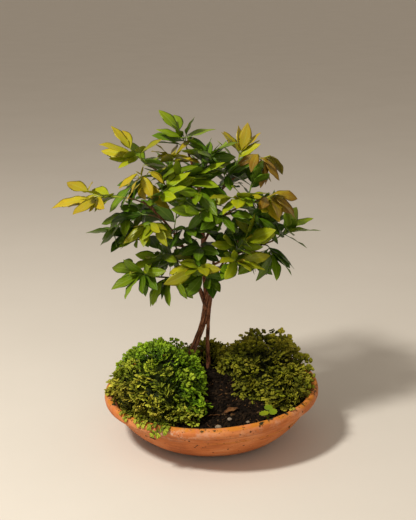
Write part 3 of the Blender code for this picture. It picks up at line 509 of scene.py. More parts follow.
def plan_tree():
    """For each shoot, its twig's path, its green stems' paths and its leaves."""
    room = Room()
    limbs = {name: limb_path(points) for name, (_, _, points) in LIMBS.items()}
    for name, (radius, _, _) in LIMBS.items():
        room.add("wood", rough_tube(limbs[name], radius * MM * SQUARE_GROWTH))
    shoots = {name: plan_shoot(room, name, limbs) for name in SHOOTS}
    forks = {}
    for number in range(len(FORKS)):
        for name, (_, stem) in shoots.items():
            fork = plan_fork(room, name, stem, number)
            if fork:
                forks[name, number] = fork
    plan = {}
    for name, (twig, stem) in shoots.items():
        _, _, _, count, size, _, droop = SHOOTS[name]
        leaves = plan_leaves(room, name, stem, count, size, droop)
        stems = [stem]
        for number, (_, _, fork_leaves) in enumerate(FORKS):
            fork = forks.get((name, number))
            if fork:
                stems.append(fork)
                owner = fork_name(name, number)
                leaves += plan_leaves(room, owner, fork, fork_leaves, size * FORK_SIZE, droop)
        plan[name] = (twig, stems, leaves)
    return plan


def shoot_material(tone):
    if tone >= GOLD_TONE:
        return "leaf_gold"
    return "leaf_lime" if tone >= LIME_TONE else "leaf_green"


# Meshes

class Gathered:
    """Points, faces and two values per point, gathered before they become one mesh.

    The tint holds a tone, a chance from 0 to 1, and a third value that each material reads its own way.
    The place holds where on a leaf the point is: across from 0 to 1, and from base to tip.
    """

    def __init__(self):
        self.points = []
        self.faces = []
        self.tints = []
        self.places = []
        self.count = 0

    def add(self, points, faces, tints, places=(0.5, 0.5, 0)):
        shape = (len(points), 3)
        self.points.append(points)
        self.faces += [[index + self.count for index in face] for face in faces]
        self.tints.append(np.broadcast_to(tints, shape))
        self.places.append(np.broadcast_to(places, shape))
        self.count += len(points)

    def mesh(self, name):
        mesh = bpy.data.meshes.new(name)
        mesh.from_pydata(np.concatenate(self.points).tolist(), [], self.faces)
        for layer_name, values in (("tint", self.tints), ("place", self.places)):
            layer = mesh.attributes.new(layer_name, "FLOAT_VECTOR", "POINT")
            layer.data.foreach_set("vector", np.concatenate(values).ravel())
        mesh.shade_smooth()
        return mesh


def add_piece(name, mesh, material, slot, *replaced):
    """One visible piece, which stands for the replaced CAD nodes."""
    mesh.materials.append(material)
    piece = bpy.data.objects.new(name, mesh)
    bpy.context.scene.collection.objects.link(piece)
    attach(piece, "root")
    if replaced:
        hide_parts(*replaced)
    return piece


def lofted_faces(rings, sides):
    """The faces of a closed body: rings of points, then its first and last point."""
    first = rings * sides
    faces = []
    for k in range(sides):
        after = (k + 1) % sides
        faces.append((first, after, k))
        faces.append((first + 1, (rings - 1) * sides + k, (rings - 1) * sides + after))
        for ring in range(rings - 1):
            low = ring * sides
            faces.append((low + k, low + after, low + sides + after, low + sides + k))
    return faces


def lofted_points(rings, first, last):
    return np.concatenate([np.asarray(rings).reshape(-1, 3), [first, last]])


def swept(path, radii, sides):
    """The rings of a tube along the path, whose frame turns with it without twisting."""
    normal = heading(path, 0).orthogonal().normalized()
    rings = []
    for i, (point, radius) in enumerate(zip(path, radii)):
        ahead = (path[min(i + 1, len(path) - 1)] - path[max(i - 1, 0)]).normalized()
        normal = (normal - ahead * normal.dot(ahead)).normalized()
        other = ahead.cross(normal)
        angles = [2 * math.pi * k / sides for k in range(sides)]
        rings.append([point + (normal * math.cos(a) + other * math.sin(a)) * radius for a in angles])
    return rings


def add_tube(gathered, path, radii, sides, tints):
    ahead = (path[-1] - path[-2]).normalized()
    back = (path[1] - path[0]).normalized()
    points = lofted_points(
        swept(path, radii, sides), path[0] - back * radii[0] * 0.5, path[-1] + ahead * radii[-1] * 0.8)
    gathered.add(points, lofted_faces(len(path), sides), tints)


def applied(obj):
    """The object's mesh with its modifiers applied. The object is removed."""
    bpy.context.view_layer.update()
    mesh = bpy.data.meshes.new_from_object(obj.evaluated_get(bpy.context.evaluated_depsgraph_get()))
    bpy.data.objects.remove(obj, do_unlink=True)
    return mesh


def helper(mesh):
    obj = bpy.data.objects.new("helper", mesh)
    bpy.context.scene.collection.objects.link(obj)
    return obj


# Materials

class Finish:
    """A node material with its Principled shader, and short calls for the nodes that feed it."""

    def __init__(self, name, roughness, specular=0.5):
        self.material = bpy.data.materials.new(name)
        self.material.use_nodes = True
        self.tree = self.material.node_tree
        self.shader = self.tree.nodes["Principled BSDF"]
        self.shader.inputs["Roughness"].default_value = roughness
        self.shader.inputs["Specular IOR Level"].default_value = specular
        self.where = self.put("TexCoord", {}, out="Object")

    def put(self, kind, inputs, out=0, **settings):
        """A new node with these inputs, and its output."""
        node = self.tree.nodes.new("ShaderNode" + kind)
        for key, value in settings.items():
            setattr(node, key, value)
        for socket, value in inputs.items():
            if isinstance(value, bpy.types.NodeSocket):
                self.tree.links.new(value, node.inputs[socket])
            else:
                node.inputs[socket].default_value = value
        return node.outputs[out]

    def parts(self, vector):
        """The three values of a vector."""
        return [self.put("SeparateXYZ", {0: vector}, out=i) for i in range(3)]

    def values(self, name):
        """The three values of a point attribute."""
        return self.parts(self.put("Attribute", {}, out="Vector", attribute_name=name))

    def math(self, operation, *values):
        return self.put("Math", dict(enumerate(values)), operation=operation)

    def times(self, value, *factors):
        for factor in factors:
            value = self.math("MULTIPLY", value, factor)
        return value

    def fitted(self, value, factor, added):
        """The value times the factor, plus what is added."""
        return self.math("MULTIPLY_ADD", value, factor, added)

    def scaled(self, factors):
        """The place with each coordinate times its factor."""
        return self.put("VectorMath", {0: self.where, 1: factors}, operation="MULTIPLY")

    def noise(self, size, detail=3.0, roughness=0.55, squeeze=None):
        """Noise from 0 to 1 with features of this size in metres, divided by the squeeze along each axis."""
        vector = self.scaled(squeeze) if squeeze else self.where
        inputs = {"Vector": vector, "Scale": 1 / size, "Detail": detail, "Roughness": roughness}
        return self.put("TexNoise", inputs)

    def cells(self, size, out="Distance"):
        """The distance to the nearest of scattered points this far apart, or another output for them."""
        return self.put("TexVoronoi", {"Vector": self.where, "Scale": 1 / size}, out=out)

    def step(self, value, low, high):
        """0 below the low value and 1 above the high one, or the reverse if low is the higher."""
        inputs = {0: value, 1: low, 2: high}
        return self.put("MapRange", inputs, interpolation_type="SMOOTHSTEP")

    def near(self, value, centre, far, close):
        """1 where the value is this close to the centre, and 0 where it is that far from it."""
        distance = self.math("ABSOLUTE", self.math("SUBTRACT", value, centre))
        return self.step(distance, far, close)

    def patches(self, size, low, high, detail=3.0, roughness=0.55):
        """Soft patches of this size: the noise stepped from the low value to the high one."""
        return self.step(self.noise(size, detail, roughness), low, high)

    def mix(self, factor, first, second, blend="MIX"):
        inputs = {0: factor}
        for socket, colour in ((6, first), (7, second)):
            inputs[socket] = (*colour, 1) if isinstance(colour, tuple) else colour
        return self.put("Mix", inputs, out=2, data_type="RGBA", blend_type=blend)

    def stain(self, colour, stain, mask, share, blend="MIX"):
        """The colour with this share of the stain where the mask is 1."""
        return self.mix(self.times(mask, share), colour, stain, blend)

    def shaded(self, colour, value, gain, least):
        """The colour times a brightness: the least where the value is 0, and the gain more where it is 1."""
        shade = self.fitted(value, gain, least)
        return self.mix(1.0, colour, self.put("CombineXYZ", {0: shade, 1: shade, 2: shade}), "MULTIPLY")

    def ramp(self, value, stops):
        """A colour for the value, from pairs of a place and a colour."""
        socket = self.put("ValToRGB", {0: value})
        elements = socket.node.color_ramp.elements
        while len(elements) < len(stops):
            elements.new(1)
        for element, (place, colour) in zip(elements, stops):
            element.position = place
            element.color = (*colour, 1)
        return socket

    def bump(self, height, depth, strength=1.0):
        """Relief of this depth in metres from a height of 0 to 1."""
        inputs = {"Height": height, "Distance": depth, "Strength": strength}
        return self.put("Bump", inputs)

    def veins(self, slant, width):
        """A leaf's distance from its midrib, 1 at the edge, and its side veins that slant towards the tip."""
        across, along_leaf, _ = self.values("place")
        out = self.math("ABSOLUTE", self.fitted(across, 2.0, -1.0))
        run = self.fitted(along_leaf, VEIN_PAIRS, self.times(out, -slant))
        return out, self.step(self.math("PINGPONG", run, 0.5), width, 0.0)

    def done(self, colour, normal, roughness=None):
        self.tree.links.new(colour, self.shader.inputs["Base Color"])
        self.tree.links.new(normal, self.shader.inputs["Normal"])
        if roughness:
            self.tree.links.new(roughness, self.shader.inputs["Roughness"])
        return self.material

    def lit_through(self, colour, share):
        """Lets this share of the light come through from behind, in this colour."""
        through = self.put("BsdfTranslucent", {"Color": colour})
        shaded = self.put("MixShader", {0: share, 1: self.shader.outputs[0], 2: through})
        self.tree.links.new(shaded, self.tree.nodes["Material Output"].inputs["Surface"])
        return self.material


LEAF_TONES = [  # mature green, lime, golden and bronze
    (0.00, (0.026, 0.070, 0.003)), (0.22, (0.056, 0.138, 0.004)), (0.40, (0.120, 0.225, 0.005)),
    (0.56, (0.230, 0.330, 0.006)), (0.72, (0.400, 0.410, 0.008)), (0.86, (0.490, 0.365, 0.014)),
    (1.00, (0.290, 0.160, 0.010)),
]
VEIN_PAIRS = 7
VEIN_COLOUR = (0.45, 0.55, 0.12)
UNDERSIDE = (0.17, 0.27, 0.04)
LEAF_GLOW = (0.50, 0.62, 0.03)
BLOTCH_TONE = 0.16  # how much the tone changes between blotches
TIP_TONE = 0.12  # and from the leaf's base to its tip


def leaf_material(name):
    """A glossy leaf: the tone gives its colour, and its veins run out from a pale midrib."""
    finish = Finish(name, 0.4, 0.36)
    tone, chance, upper = finish.values("tint")
    _, along_leaf, _ = finish.values("place")
    for value, change in ((finish.noise(7 * MM), BLOTCH_TONE), (along_leaf, TIP_TONE)):
        tone = finish.fitted(finish.math("SUBTRACT", value, 0.5), change, tone)
    colour = finish.shaded(finish.ramp(tone, LEAF_TONES), chance, 0.5, 0.75)
    out, vein = finish.veins(2.2, 0.09)
    vein = finish.times(vein, finish.step(out, 1.0, 0.5))
    midrib = finish.step(out, 0.12, 0.03)
    lines = finish.math("MAXIMUM", finish.times(vein, 0.35), finish.times(midrib, 0.8))
    colour = finish.stain(colour, finish.mix(0.5, colour, VEIN_COLOUR), lines, 0.6)
    under = finish.mix(0.35, colour, UNDERSIDE)
    colour = finish.mix(finish.step(upper, 0.55, 0.45), colour, under)
    relief = finish.math("ADD", finish.times(lines, -0.8), finish.noise(1.5 * MM))
    gloss = finish.fitted(finish.noise(4 * MM), 0.22, 0.20)
    finish.done(colour, finish.bump(relief, 0.25 * MM, 0.6), gloss)
    return finish.lit_through(finish.mix(0.55, colour, LEAF_GLOW, "SOFT_LIGHT"), 0.36)


# Old bark by the ridge's height: painted shade in the furrows, painted highlight on the crests
OLD_BARK_SHADING = [(0.1, (0.022, 0.007, 0.003)), (0.45, (0.185, 0.062, 0.024)), (0.85, (0.480, 0.205, 0.100))]
BARK_PATCH = (0.25, 0.14, 0.09)
YOUNG_BARKS = ((0.10, 0.075, 0.03), (0.17, 0.18, 0.045))
BARK_FIBRE = (0.06, 0.028, 0.016)


def bark_material():
    """Red-brown bark on the stems, with painted shade in its furrows and painted highlights on its crests,
    and greener young twigs.
    """
    finish = Finish("bark_ridges", 0.8, 0.25)
    age, ridge, _ = finish.values("tint")
    fibre = finish.noise(1.3 * MM, 4.0, squeeze=(1, 1, 0.18))
    patch = finish.noise(9 * MM, 2.0)
    # painted shade in the furrows and a painted highlight on the crests
    old = finish.stain(finish.ramp(ridge, OLD_BARK_SHADING), BARK_PATCH, finish.step(patch, 0.5, 0.75), 0.6)
    young = finish.mix(finish.step(patch, 0.35, 0.7), *YOUNG_BARKS)
    colour = finish.mix(finish.step(age, 0.12, 0.42), young, old)
    colour = finish.stain(colour, BARK_FIBRE, fibre, 0.6, "MULTIPLY")
    return finish.done(colour, finish.bump(fibre, 0.5 * MM, 0.8))


CLAY_TONES = [(0.32, (0.330, 0.085, 0.020)), (0.50, (0.575, 0.174, 0.046)), (0.66, (0.690, 0.275, 0.105))]
CLAY_GRAIN = (0.27, 0.08, 0.025)
FOOT_STAIN = (0.17, 0.060, 0.022)
SALT = (0.62, 0.46, 0.35)
SALT_CENTRE = -52 * MM  # in x, where the front has the most salt
# painted shade for the groove under the lip
NECK_PAINTED_SHADE = (0.120, 0.046, 0.022)
SCRATCH = (0.070, 0.030, 0.016)
ALGAE = (0.50, 0.175, 0.012)
MOSS_STAIN = (0.022, 0.022, 0.006)
PIT = (0.045, 0.020, 0.010)
CREST_DEPTHS = (4.8 * MM, 1.6 * MM)  # below the rim, where the lip's stained crest fades in
WALL_STAIN_EDGE = BOWL_RADIUS - 13.4 * MM  # the inner wall lies inside this radius
WHEEL_LINES = 55.0  # the wave's scale, which gives a ring about every 6 mm


def clay_body(finish, fine):
    """The fired clay's own colour, darker in its grain."""
    broad = finish.noise(60 * MM, 3.0)
    streak = finish.noise(22 * MM, 4.0, squeeze=(1, 1, 7))
    colour = finish.ramp(finish.fitted(broad, 0.6, finish.times(streak, 0.4)), CLAY_TONES)
    return finish.stain(colour, CLAY_GRAIN, fine, 0.40)


def clay_foot(finish, colour, z):
    damp = finish.times(finish.step(z, 30 * MM, 2 * MM), finish.patches(20 * MM, 0.30, 0.70, 4.0))
    return finish.stain(colour, FOOT_STAIN, damp, 0.6)


def clay_salt(finish, colour, x, y, level):
    """A chalky crust on the upper wall, strongest at the front left."""
    high = finish.step(level, BOWL_HEIGHT - 28 * MM, BOWL_HEIGHT - 8 * MM)
    crust = finish.patches(16 * MM, 0.46, 0.68, 5.0, 0.7)
    front = finish.step(y, -100 * MM, -125 * MM)
    front_left = finish.times(front, finish.near(x, SALT_CENTRE, 42 * MM, 12 * MM))
    salt = finish.times(finish.times(crust, high), finish.fitted(front_left, 0.70, 0.26))
    return finish.mix(salt, colour, SALT)


def clay_neck_shade_and_scratches(finish, colour, level):
    """A broken line of painted shade in the neck under the lip, and dark scratches round the wall below it.
    """
    # painted shade along the groove under the lip, its strength changing in patches
    neck = finish.near(level, BOWL_HEIGHT - LIP_HEIGHT - 1 * MM, 3 * MM, 0.8 * MM)
    broken = finish.fitted(finish.patches(16 * MM, 0.35, 0.65), 0.45, 0.3)
    colour = finish.stain(colour, NECK_PAINTED_SHADE, neck, broken)
    band = finish.near(level, BOWL_HEIGHT - 22 * MM, 12 * MM, 5 * MM)
    lines = finish.step(finish.noise(7 * MM, 4.0, squeeze=(0.3, 0.3, 8)), 0.60, 0.68)
    scratches = finish.times(lines, finish.patches(45 * MM, 0.42, 0.56), band)
    return finish.stain(colour, SCRATCH, scratches, 0.8)


def clay_rim(finish, colour, z, level):
    """Ochre algae and dark moss stains on the lip's crest and on the wall inside it."""
    radius = finish.put("VectorMath", {0: finish.scaled((1, 1, 0))}, out="Value", operation="LENGTH")
    crest = finish.step(level, *[BOWL_HEIGHT - depth for depth in CREST_DEPTHS])
    wall = finish.step(radius, WALL_STAIN_EDGE, WALL_STAIN_EDGE - 1 * MM)
    inner = finish.times(wall, finish.step(z, 40 * MM, 48 * MM))
    inside = finish.math("MAXIMUM", crest, inner)
    algae = finish.times(inside, finish.patches(13 * MM, 0.34, 0.54))
    colour = finish.stain(colour, ALGAE, algae, 0.85)
    return finish.stain(colour, MOSS_STAIN, inside, finish.patches(7 * MM, 0.55, 0.61, 5.0, 0.65))


def clay_holes(finish):
    """Where the clay has pits and, between them, finer specks."""
    pits = finish.times(finish.step(finish.cells(10 * MM), 0.17, 0.09), finish.patches(30 * MM, 0.38, 0.5))
    specks = finish.step(finish.cells(3.4 * MM), 0.20, 0.10)
    return finish.math("MAXIMUM", pits, finish.times(specks, finish.patches(14 * MM, 0.46, 0.6)))


def clay_material():
    """Unglazed clay: pitted, chalky where salts came out, and stained by algae inside the rim."""
    finish = Finish("fired_clay", 0.85, 0.25)
    x, y, z = finish.parts(finish.where)
    level = finish.math("SUBTRACT", z, finish.times(x, z, RIM_TILT / BOWL_HEIGHT))  # without the rim's tilt
    fine = finish.noise(3 * MM, 4.0)
    colour = clay_foot(finish, clay_body(finish, fine), z)
    colour = clay_salt(finish, colour, x, y, level)
    colour = clay_rim(finish, clay_neck_shade_and_scratches(finish, colour, level), z, level)
    holes = clay_holes(finish)
    colour = finish.stain(colour, PIT, holes, 0.85)
    rings = {"Vector": finish.where, "Scale": WHEEL_LINES, "Distortion": 2.5, "Detail": 2.0}
    wheel = finish.put("TexWave", rings, wave_type="BANDS", bands_direction="Z")
    height = finish.fitted(holes, -1.6, finish.fitted(wheel, 0.25, fine))
    return finish.done(colour, finish.bump(height, 0.6 * MM, 0.7))


SOIL_TONES = [(0.25, (0.002, 0.0015, 0.001)), (0.55, (0.008, 0.005, 0.003)), (0.85, (0.034, 0.020, 0.010))]
CHIP_COLOURS = ((0.06, 0.026, 0.009), (0.20, 0.12, 0.05))


def soil_material():
    """Dark damp crumbs, and paler chips of bark where the third tint is high."""
    finish = Finish("crumbly_soil", 0.95, 0.08)
    shade, _, kind = finish.values("tint")
    grain = finish.noise(1.6 * MM, 4.0)
    colour = finish.ramp(finish.fitted(grain, 0.7, finish.times(shade, 0.4)), SOIL_TONES)
    colour = finish.mix(kind, colour, finish.mix(grain, *CHIP_COLOURS))
    return finish.done(colour, finish.bump(grain, 0.8 * MM))


MOSS_STOPS = (0.1, 0.55, 1.0)  # from a frond's foot to its tips; the dark foot is painted shade in the cushion
# each starts with painted shade at a frond's foot
BRIGHT_MOSS = ((0.003, 0.009, 0.001), (0.054, 0.132, 0.002), (0.320, 0.510, 0.018))
# the right and rear cushions: their own darker olive, and painted shade from the crown
DARK_SHADED_MOSS = ((0.002, 0.005, 0.001), (0.032, 0.050, 0.0015), (0.270, 0.295, 0.009))
OLIVE_MOSS = ((0.008, 0.007, 0.001), (0.195, 0.170, 0.006), (0.800, 0.660, 0.090))


def moss_material(name, colours):
    """Moss fronds: painted shade at the base, light tips with painted highlights, more olive at high tone."""
    finish = Finish(name, 0.55, 0.18)
    tone, chance, out = finish.values("tint")
    green, olive = [finish.ramp(out, list(zip(MOSS_STOPS, tones))) for tones in (colours, OLIVE_MOSS)]
    colour = finish.shaded(finish.mix(tone, green, olive), chance, 0.95, 0.50)
    scales = finish.cells(1.1 * MM)
    # painted highlight: the scales' rims are lighter, most towards the tips
    colour = finish.stain(colour, finish.mix(0.5, colour, colours[-1]), finish.times(scales, out), 0.5)
    finish.done(colour, finish.bump(scales, 0.35 * MM, 0.7))
    return finish.lit_through(colour, 0.25)


STONE_COLOURS = ((0.15, 0.115, 0.08), (0.36, 0.30, 0.22))
STONE_DIRT = (0.035, 0.022, 0.012)


def stone_material():
    """Chalky grey stone with soil in its hollows."""
    finish = Finish("chalky_stone", 0.8, 0.3)
    grain = finish.noise(1.2 * MM, 5.0)
    colour = finish.mix(grain, *STONE_COLOURS)
    colour = finish.mix(finish.patches(4 * MM, 0.42, 0.66), colour, STONE_DIRT)
    return finish.done(colour, finish.bump(grain, 0.5 * MM))


DRY_TONES = [(0.3, (0.045, 0.018, 0.006)), (0.5, (0.13, 0.050, 0.012)), (0.7, (0.30, 0.15, 0.04))]
DRY_VEIN = (0.16, 0.07, 0.025)


def dry_material():
    """Brown dead leaves and fibres with raised veins."""
    finish = Finish("dried_leaf", 0.75, 0.3)
    colour = finish.ramp(finish.noise(5 * MM, 4.0), DRY_TONES)
    _, vein = finish.veins(2.0, 0.1)
    colour = finish.stain(colour, DRY_VEIN, vein, 0.5)
    return finish.done(colour, finish.bump(vein, 0.4 * MM))


GRIT_SIZE = 4 * MM
GRIT_COLOURS = ((0.14, 0.10, 0.08), (0.42, 0.36, 0.30))
# painted shade in the gaps between the stones
GRIT_GAP_SHADE = (0.03, 0.025, 0.02)


def grit_material():
    """Small stones of many greys with painted shade in the gaps between them."""
    finish = Finish("loose_grit", 0.9, 0.3)
    gap = finish.cells(GRIT_SIZE)
    colour = finish.mix(finish.cells(GRIT_SIZE, "Color"), *GRIT_COLOURS)
    # painted shade where the stones meet
    colour = finish.mix(finish.step(gap, 0.4, 0.8), colour, GRIT_GAP_SHADE)
    return finish.done(colour, finish.bump(gap, -1.5 * MM))


PLASTIC_COLOURS = ((0.02, 0.02, 0.022), (0.09, 0.07, 0.055))  # clean and dusty


def plastic_material():
    """Black plastic with dust on it."""
    finish = Finish("moulded_plastic", 0.5)
    dust = finish.patches(9 * MM, 0.5, 0.75)
    colour = finish.mix(dust, *PLASTIC_COLOURS)
    grain = finish.noise(0.8 * MM, 2.0)
    return finish.done(colour, finish.bump(grain, 0.1 * MM), finish.fitted(dust, 0.3, 0.45))


FLOOR_COLOURS = ((0.62, 0.583, 0.53), (0.67, 0.633, 0.58))


def floor_material():
    finish = Finish("pale_floor", 0.85, 0.2)
    colour = finish.mix(finish.noise(0.25, 4.0), *FLOOR_COLOURS)
    return finish.done(colour, finish.bump(finish.noise(2.5 * MM, 3.0), 0.25 * MM, 0.5))


# Bowl

BOWL_TURNS = 320
INNER_RINGS = 26
LIP_RINGS = 17
LIP_SWEEP = (150, -90)  # degrees, from the lip's inner side over its top to its underside
OUTER_RINGS = 34
RING_STEP = 2 * MM
TRUE_FOOT = 1.05  # of the foot's radius, what stays truly round
WAVE_GROWTH = 4  # how fast the waves grow beyond it, per foot radius
HAND_WAVE = 0.6 * MM  # how far the hand-thrown wall strays from round
HEIGHT_WAVE = 0.5  # of that, how far it strays up and down
WAVE_SIZE = 55 * MM
OTHER_WAVES = Vector((7, 7, 7))  # from the noise for the radius to the one for the height
WHEEL_RIDGE = 0.12 * MM
WHEEL_STEP = 3.1 * MM
WHEEL_WANDER = 6  # radians
DRAIN_SIDES = 32
DRILL_LENGTH = 60 * MM


def bowl_profile():
    """(radius, height) from the inner floor's centre over the lip to the centre underneath."""
    corners = [Vector((0, floor_height()))]
    corners += [inner_point(t) for t in ring_values(0, 1, INNER_RINGS)]
    centre = Vector((BOWL_RADIUS - LIP_DEPTH, BOWL_HEIGHT - LIP_HEIGHT / 2))
    for degrees in ring_values(*LIP_SWEEP, LIP_RINGS):
        angle = math.radians(degrees)
        corners.append(centre + Vector((math.cos(angle) * LIP_DEPTH, math.sin(angle) * LIP_HEIGHT / 2)))
    corners += [wall_point(t, 0) for t in ring_values(1, 0, OUTER_RINGS)]
    corners += [Vector((FOOT_RADIUS - FOOT_EDGE / 2, 0)), Vector((0, 0))]
    profile = [corners[0]]
    for a, b in zip(corners, corners[1:]):
        steps = max(1, round((b - a).length / RING_STEP))
        profile += [a.lerp(b, (k + 1) / steps) for k in range(steps)]
    return profile


def turned(profile, turns):
    """The points and faces of a profile from axis to axis, turned round."""
    angles = np.arange(turns) * 2 * np.pi / turns
    rings = [[(p.x * np.cos(a), p.x * np.sin(a), p.y) for a in angles] for p in profile[1:-1]]
    points = lofted_points(rings, (0, 0, profile[0].y), (0, 0, profile[-1].y))
    faces = lofted_faces(len(rings), turns)
    return points, [face[::-1] for face in faces]


def throw(point):
    """Moves a point of the wall to where the potter's hand left it."""
    radius = math.hypot(point[0], point[1])
    if radius < FOOT_RADIUS * TRUE_FOOT:
        return
    place = Vector(point) / WAVE_SIZE
    share = min(1, (radius / FOOT_RADIUS - TRUE_FOOT) * WAVE_GROWTH)
    wave = HAND_WAVE * noise.noise(place)
    ridge = WHEEL_RIDGE * math.sin(2 * math.pi * point[2] / WHEEL_STEP + WHEEL_WANDER * noise.noise(place))
    point[:2] *= 1 + (wave + ridge) * share / radius
    point[2] += HEIGHT_WAVE * HAND_WAVE * share * noise.noise(place + OTHER_WAVES)


def drill(centre):
    """A cutter for a drain hole."""
    bm = bmesh.new()
    radii = {"radius1": DRAIN_RADIUS, "radius2": DRAIN_RADIUS}
    bmesh.ops.create_cone(bm, cap_ends=True, segments=DRAIN_SIDES, depth=DRILL_LENGTH, **radii)
    bmesh.ops.translate(bm, verts=bm.verts, vec=centre)
    mesh = bpy.data.meshes.new("drain")
    bm.to_mesh(mesh)
    bm.free()
    return helper(mesh)


def bowl_mesh():
    points, faces = turned(bowl_profile(), BOWL_TURNS)
    for point in points:
        throw(point)
    points[:, 2] += rim_lift(points[:, 0], points[:, 2])
    gathered = Gathered()
    gathered.add(points, faces, (0, 0, 0))
    bowl = helper(gathered.mesh("bowl_body"))
    drills = [drill(centre) for centre in drain_centres()]
    for cutter in drills:
        cut = bowl.modifiers.new("drain", "BOOLEAN")
        cut.operation = "DIFFERENCE"
        cut.object = cutter
    mesh = applied(bowl)
    for cutter in drills:
        bpy.data.objects.remove(cutter, do_unlink=True)
    return mesh


# Soil

SOIL_STEP = 1.5 * MM
SOIL_TURNS = 220
SOIL_SIDE_RINGS = 8
SOIL_SIDE_TOP = 3 * MM  # below the surface's edge
SOIL_INSET = 0.8 * MM  # from the CAD soil's side
SOIL_BOTTOM = 10.5 * MM  # above the bowl's floor
GROUND_LUMPS = ((1.5, 7), (0.8, 2.6))  # height and size in millimetres
CRUMBS = 2600
CRUMB_SIZES = (0.5, 2.0)  # millimetres
CRUMB_POWER = 1.3  # over 1 makes large crumbs larger and small ones smaller
ROUND_CRUMB = 1.3 * MM  # from this size up a crumb gets more faces
DENT_DEPTH = 0.5
DENT_RATE = 1.4
DENT_SHIFT = 50  # how far apart two crumbs may be in the noise
CRUMB_STRETCHES = ((0.6, 1.3), (0.6, 1.3), (0.5, 0.9))  # along x, y and z
CRUMB_LIFT = 0.25  # of the size, how high the crumb's centre lies
CHIP_SHARE = 0.02  # of the crumbs
CHIP_KIND = 0.6
FULL_TURN = 6.3  # radians, rounded up
SOIL_MARGIN = 2  # millimetres, the least from a crumb's centre to the soil's edge
SOIL_VIEW = (24, -62, 62)  # millimetres, the centre in x and y, and the spread, of most crumbs
FIBRES = 70
FIBRE_LENGTHS = (3, 12)  # millimetres
FIBRE_POINTS = 6
FIBRE_BEND = 0.45  # radians, the most between two points
FIBRE_RADII = (0.16, 0.4)  # millimetres
FIBRE_TIP = 0.4  # of the radius
FIBRE_LIFT = 0.5 * MM
ARCHED = (2, 3)  # the points of a fibre that may rise off the soil
FLAKES = 35
FLAKE_LENGTHS = (2.5, 6)  # millimetres
FLAKE_LIFT = 0.8 * MM
LITTER_TONE = 0.5


def ground(x, y):
    """The crumbly surface of the soil."""
    place = Vector((x, y, 0))
    lumps = sum(height * noise.noise(place / (size * MM)) for height, size in GROUND_LUMPS)
    return soil_height(x, y) + lumps * MM


def soil_body():
    """The soil's fine upper surface and a plain closed underside on the grit."""
    radius = inner_at(soil_edge_height(), SOIL_GAP).x - SOIL_INSET
    low = floor_height() + SOIL_BOTTOM
    surface = 1  # a height that only marks the surface's points
    top = [Vector((r, surface)) for r in np.arange(0, radius, SOIL_STEP)] + [Vector((radius, surface))]
    levels = ring_values(soil_edge_height() - SOIL_SIDE_TOP, low, SOIL_SIDE_RINGS)
    side = [inner_at(level, SOIL_GAP + SOIL_INSET) for level in levels]
    points, faces = turned(top + side + [Vector((0, low))], SOIL_TURNS)
    for point in points:
        if point[2] == surface:
            point[2] = ground(point[0], point[1])
        else:
            point[2] += rim_lift(point[0], point[2])
    return points, faces


def ball(subdivisions):
    bm = bmesh.new()
    bmesh.ops.create_icosphere(bm, subdivisions=subdivisions, radius=1)
    points = np.array([vertex.co for vertex in bm.verts])
    faces = [[vertex.index for vertex in face.verts] for face in bm.faces]
    bm.free()
    return points, faces


def on_soil(rng):
    """A random place on the soil, most often in the open part in front."""
    limit = inner_at(soil_edge_height(), SOIL_GAP).x / MM - SOIL_MARGIN
    middle_x, middle_y, spread = SOIL_VIEW
    while True:
        x, y = rng.gauss(middle_x, spread), rng.gauss(middle_y, spread)
        if math.hypot(x, y) < limit:
            return x * MM, y * MM


def add_crumb(gathered, rng, balls):
    x, y = on_soil(rng)
    size = rng.uniform(*CRUMB_SIZES) ** CRUMB_POWER * MM
    points, faces = balls[size > ROUND_CRUMB]
    shift = Vector([rng.uniform(0, DENT_SHIFT) for _ in range(3)])
    dents = np.array([1 + DENT_DEPTH * noise.noise(Vector(p) * DENT_RATE + shift) for p in points])
    stretch = [rng.uniform(*limits) for limits in CRUMB_STRETCHES]
    turn = np.array(Matrix.Rotation(rng.uniform(0, FULL_TURN), 3, "Z"))
    placed = points * dents[:, None] * stretch * size @ turn
    kind = CHIP_KIND if rng.random() < CHIP_SHARE else 0.0
    centre = (x, y, ground(x, y) + size * CRUMB_LIFT)
    gathered.add(placed + centre, faces, (rng.random(), rng.random(), kind))


def soil_mesh():
    rng = random.Random("soil")
    gathered = Gathered()
    gathered.add(*soil_body(), (0.4, 0.5, 0))
    balls = [ball(1), ball(2)]
    for _ in range(CRUMBS):
        add_crumb(gathered, rng, balls)
    return gathered.mesh("soil_surface")


def add_fibre(gathered, rng):
    """A fine root or dry fibre that lies on the soil, sometimes with a low arch in its middle."""
    x, y = on_soil(rng)
    angle = rng.uniform(0, FULL_TURN)
    length = rng.uniform(*FIBRE_LENGTHS) * MM
    path = []
    for k in range(FIBRE_POINTS):
        angle += rng.uniform(-FIBRE_BEND, FIBRE_BEND)
        x += math.cos(angle) * length / (FIBRE_POINTS - 1)
        y += math.sin(angle) * length / (FIBRE_POINTS - 1)
        arch = rng.uniform(0, 1) * MM * (k in ARCHED)
        path.append(Vector((x, y, ground(x, y) + FIBRE_LIFT + arch)))
    radius = rng.uniform(*FIBRE_RADII) * MM
    radii = [radius] * (FIBRE_POINTS - 1) + [radius * FIBRE_TIP]
    add_tube(gathered, path, radii, 5, (rng.random(), rng.random(), 0))


def add_flake(gathered, rng):
    """A small curled piece of a dry leaf."""
    x, y = on_soil(rng)
    angle = rng.uniform(0, FULL_TURN)
    direction = Vector((math.cos(angle), math.sin(angle), rng.uniform(-0.2, 0.3))).normalized()
    side, normal = leaf_axes(direction, rng.uniform(-0.6, 0.6), UP)
    base = Vector((x, y, ground(x, y) + FLAKE_LIFT))
    leaf = (base, direction, side, normal, rng.uniform(*FLAKE_LENGTHS) * MM, rng.uniform(0, 0.3))
    add_leaf(gathered, leaf, LITTER_TONE, rng, rows=7, wave_share=5, curl=2)


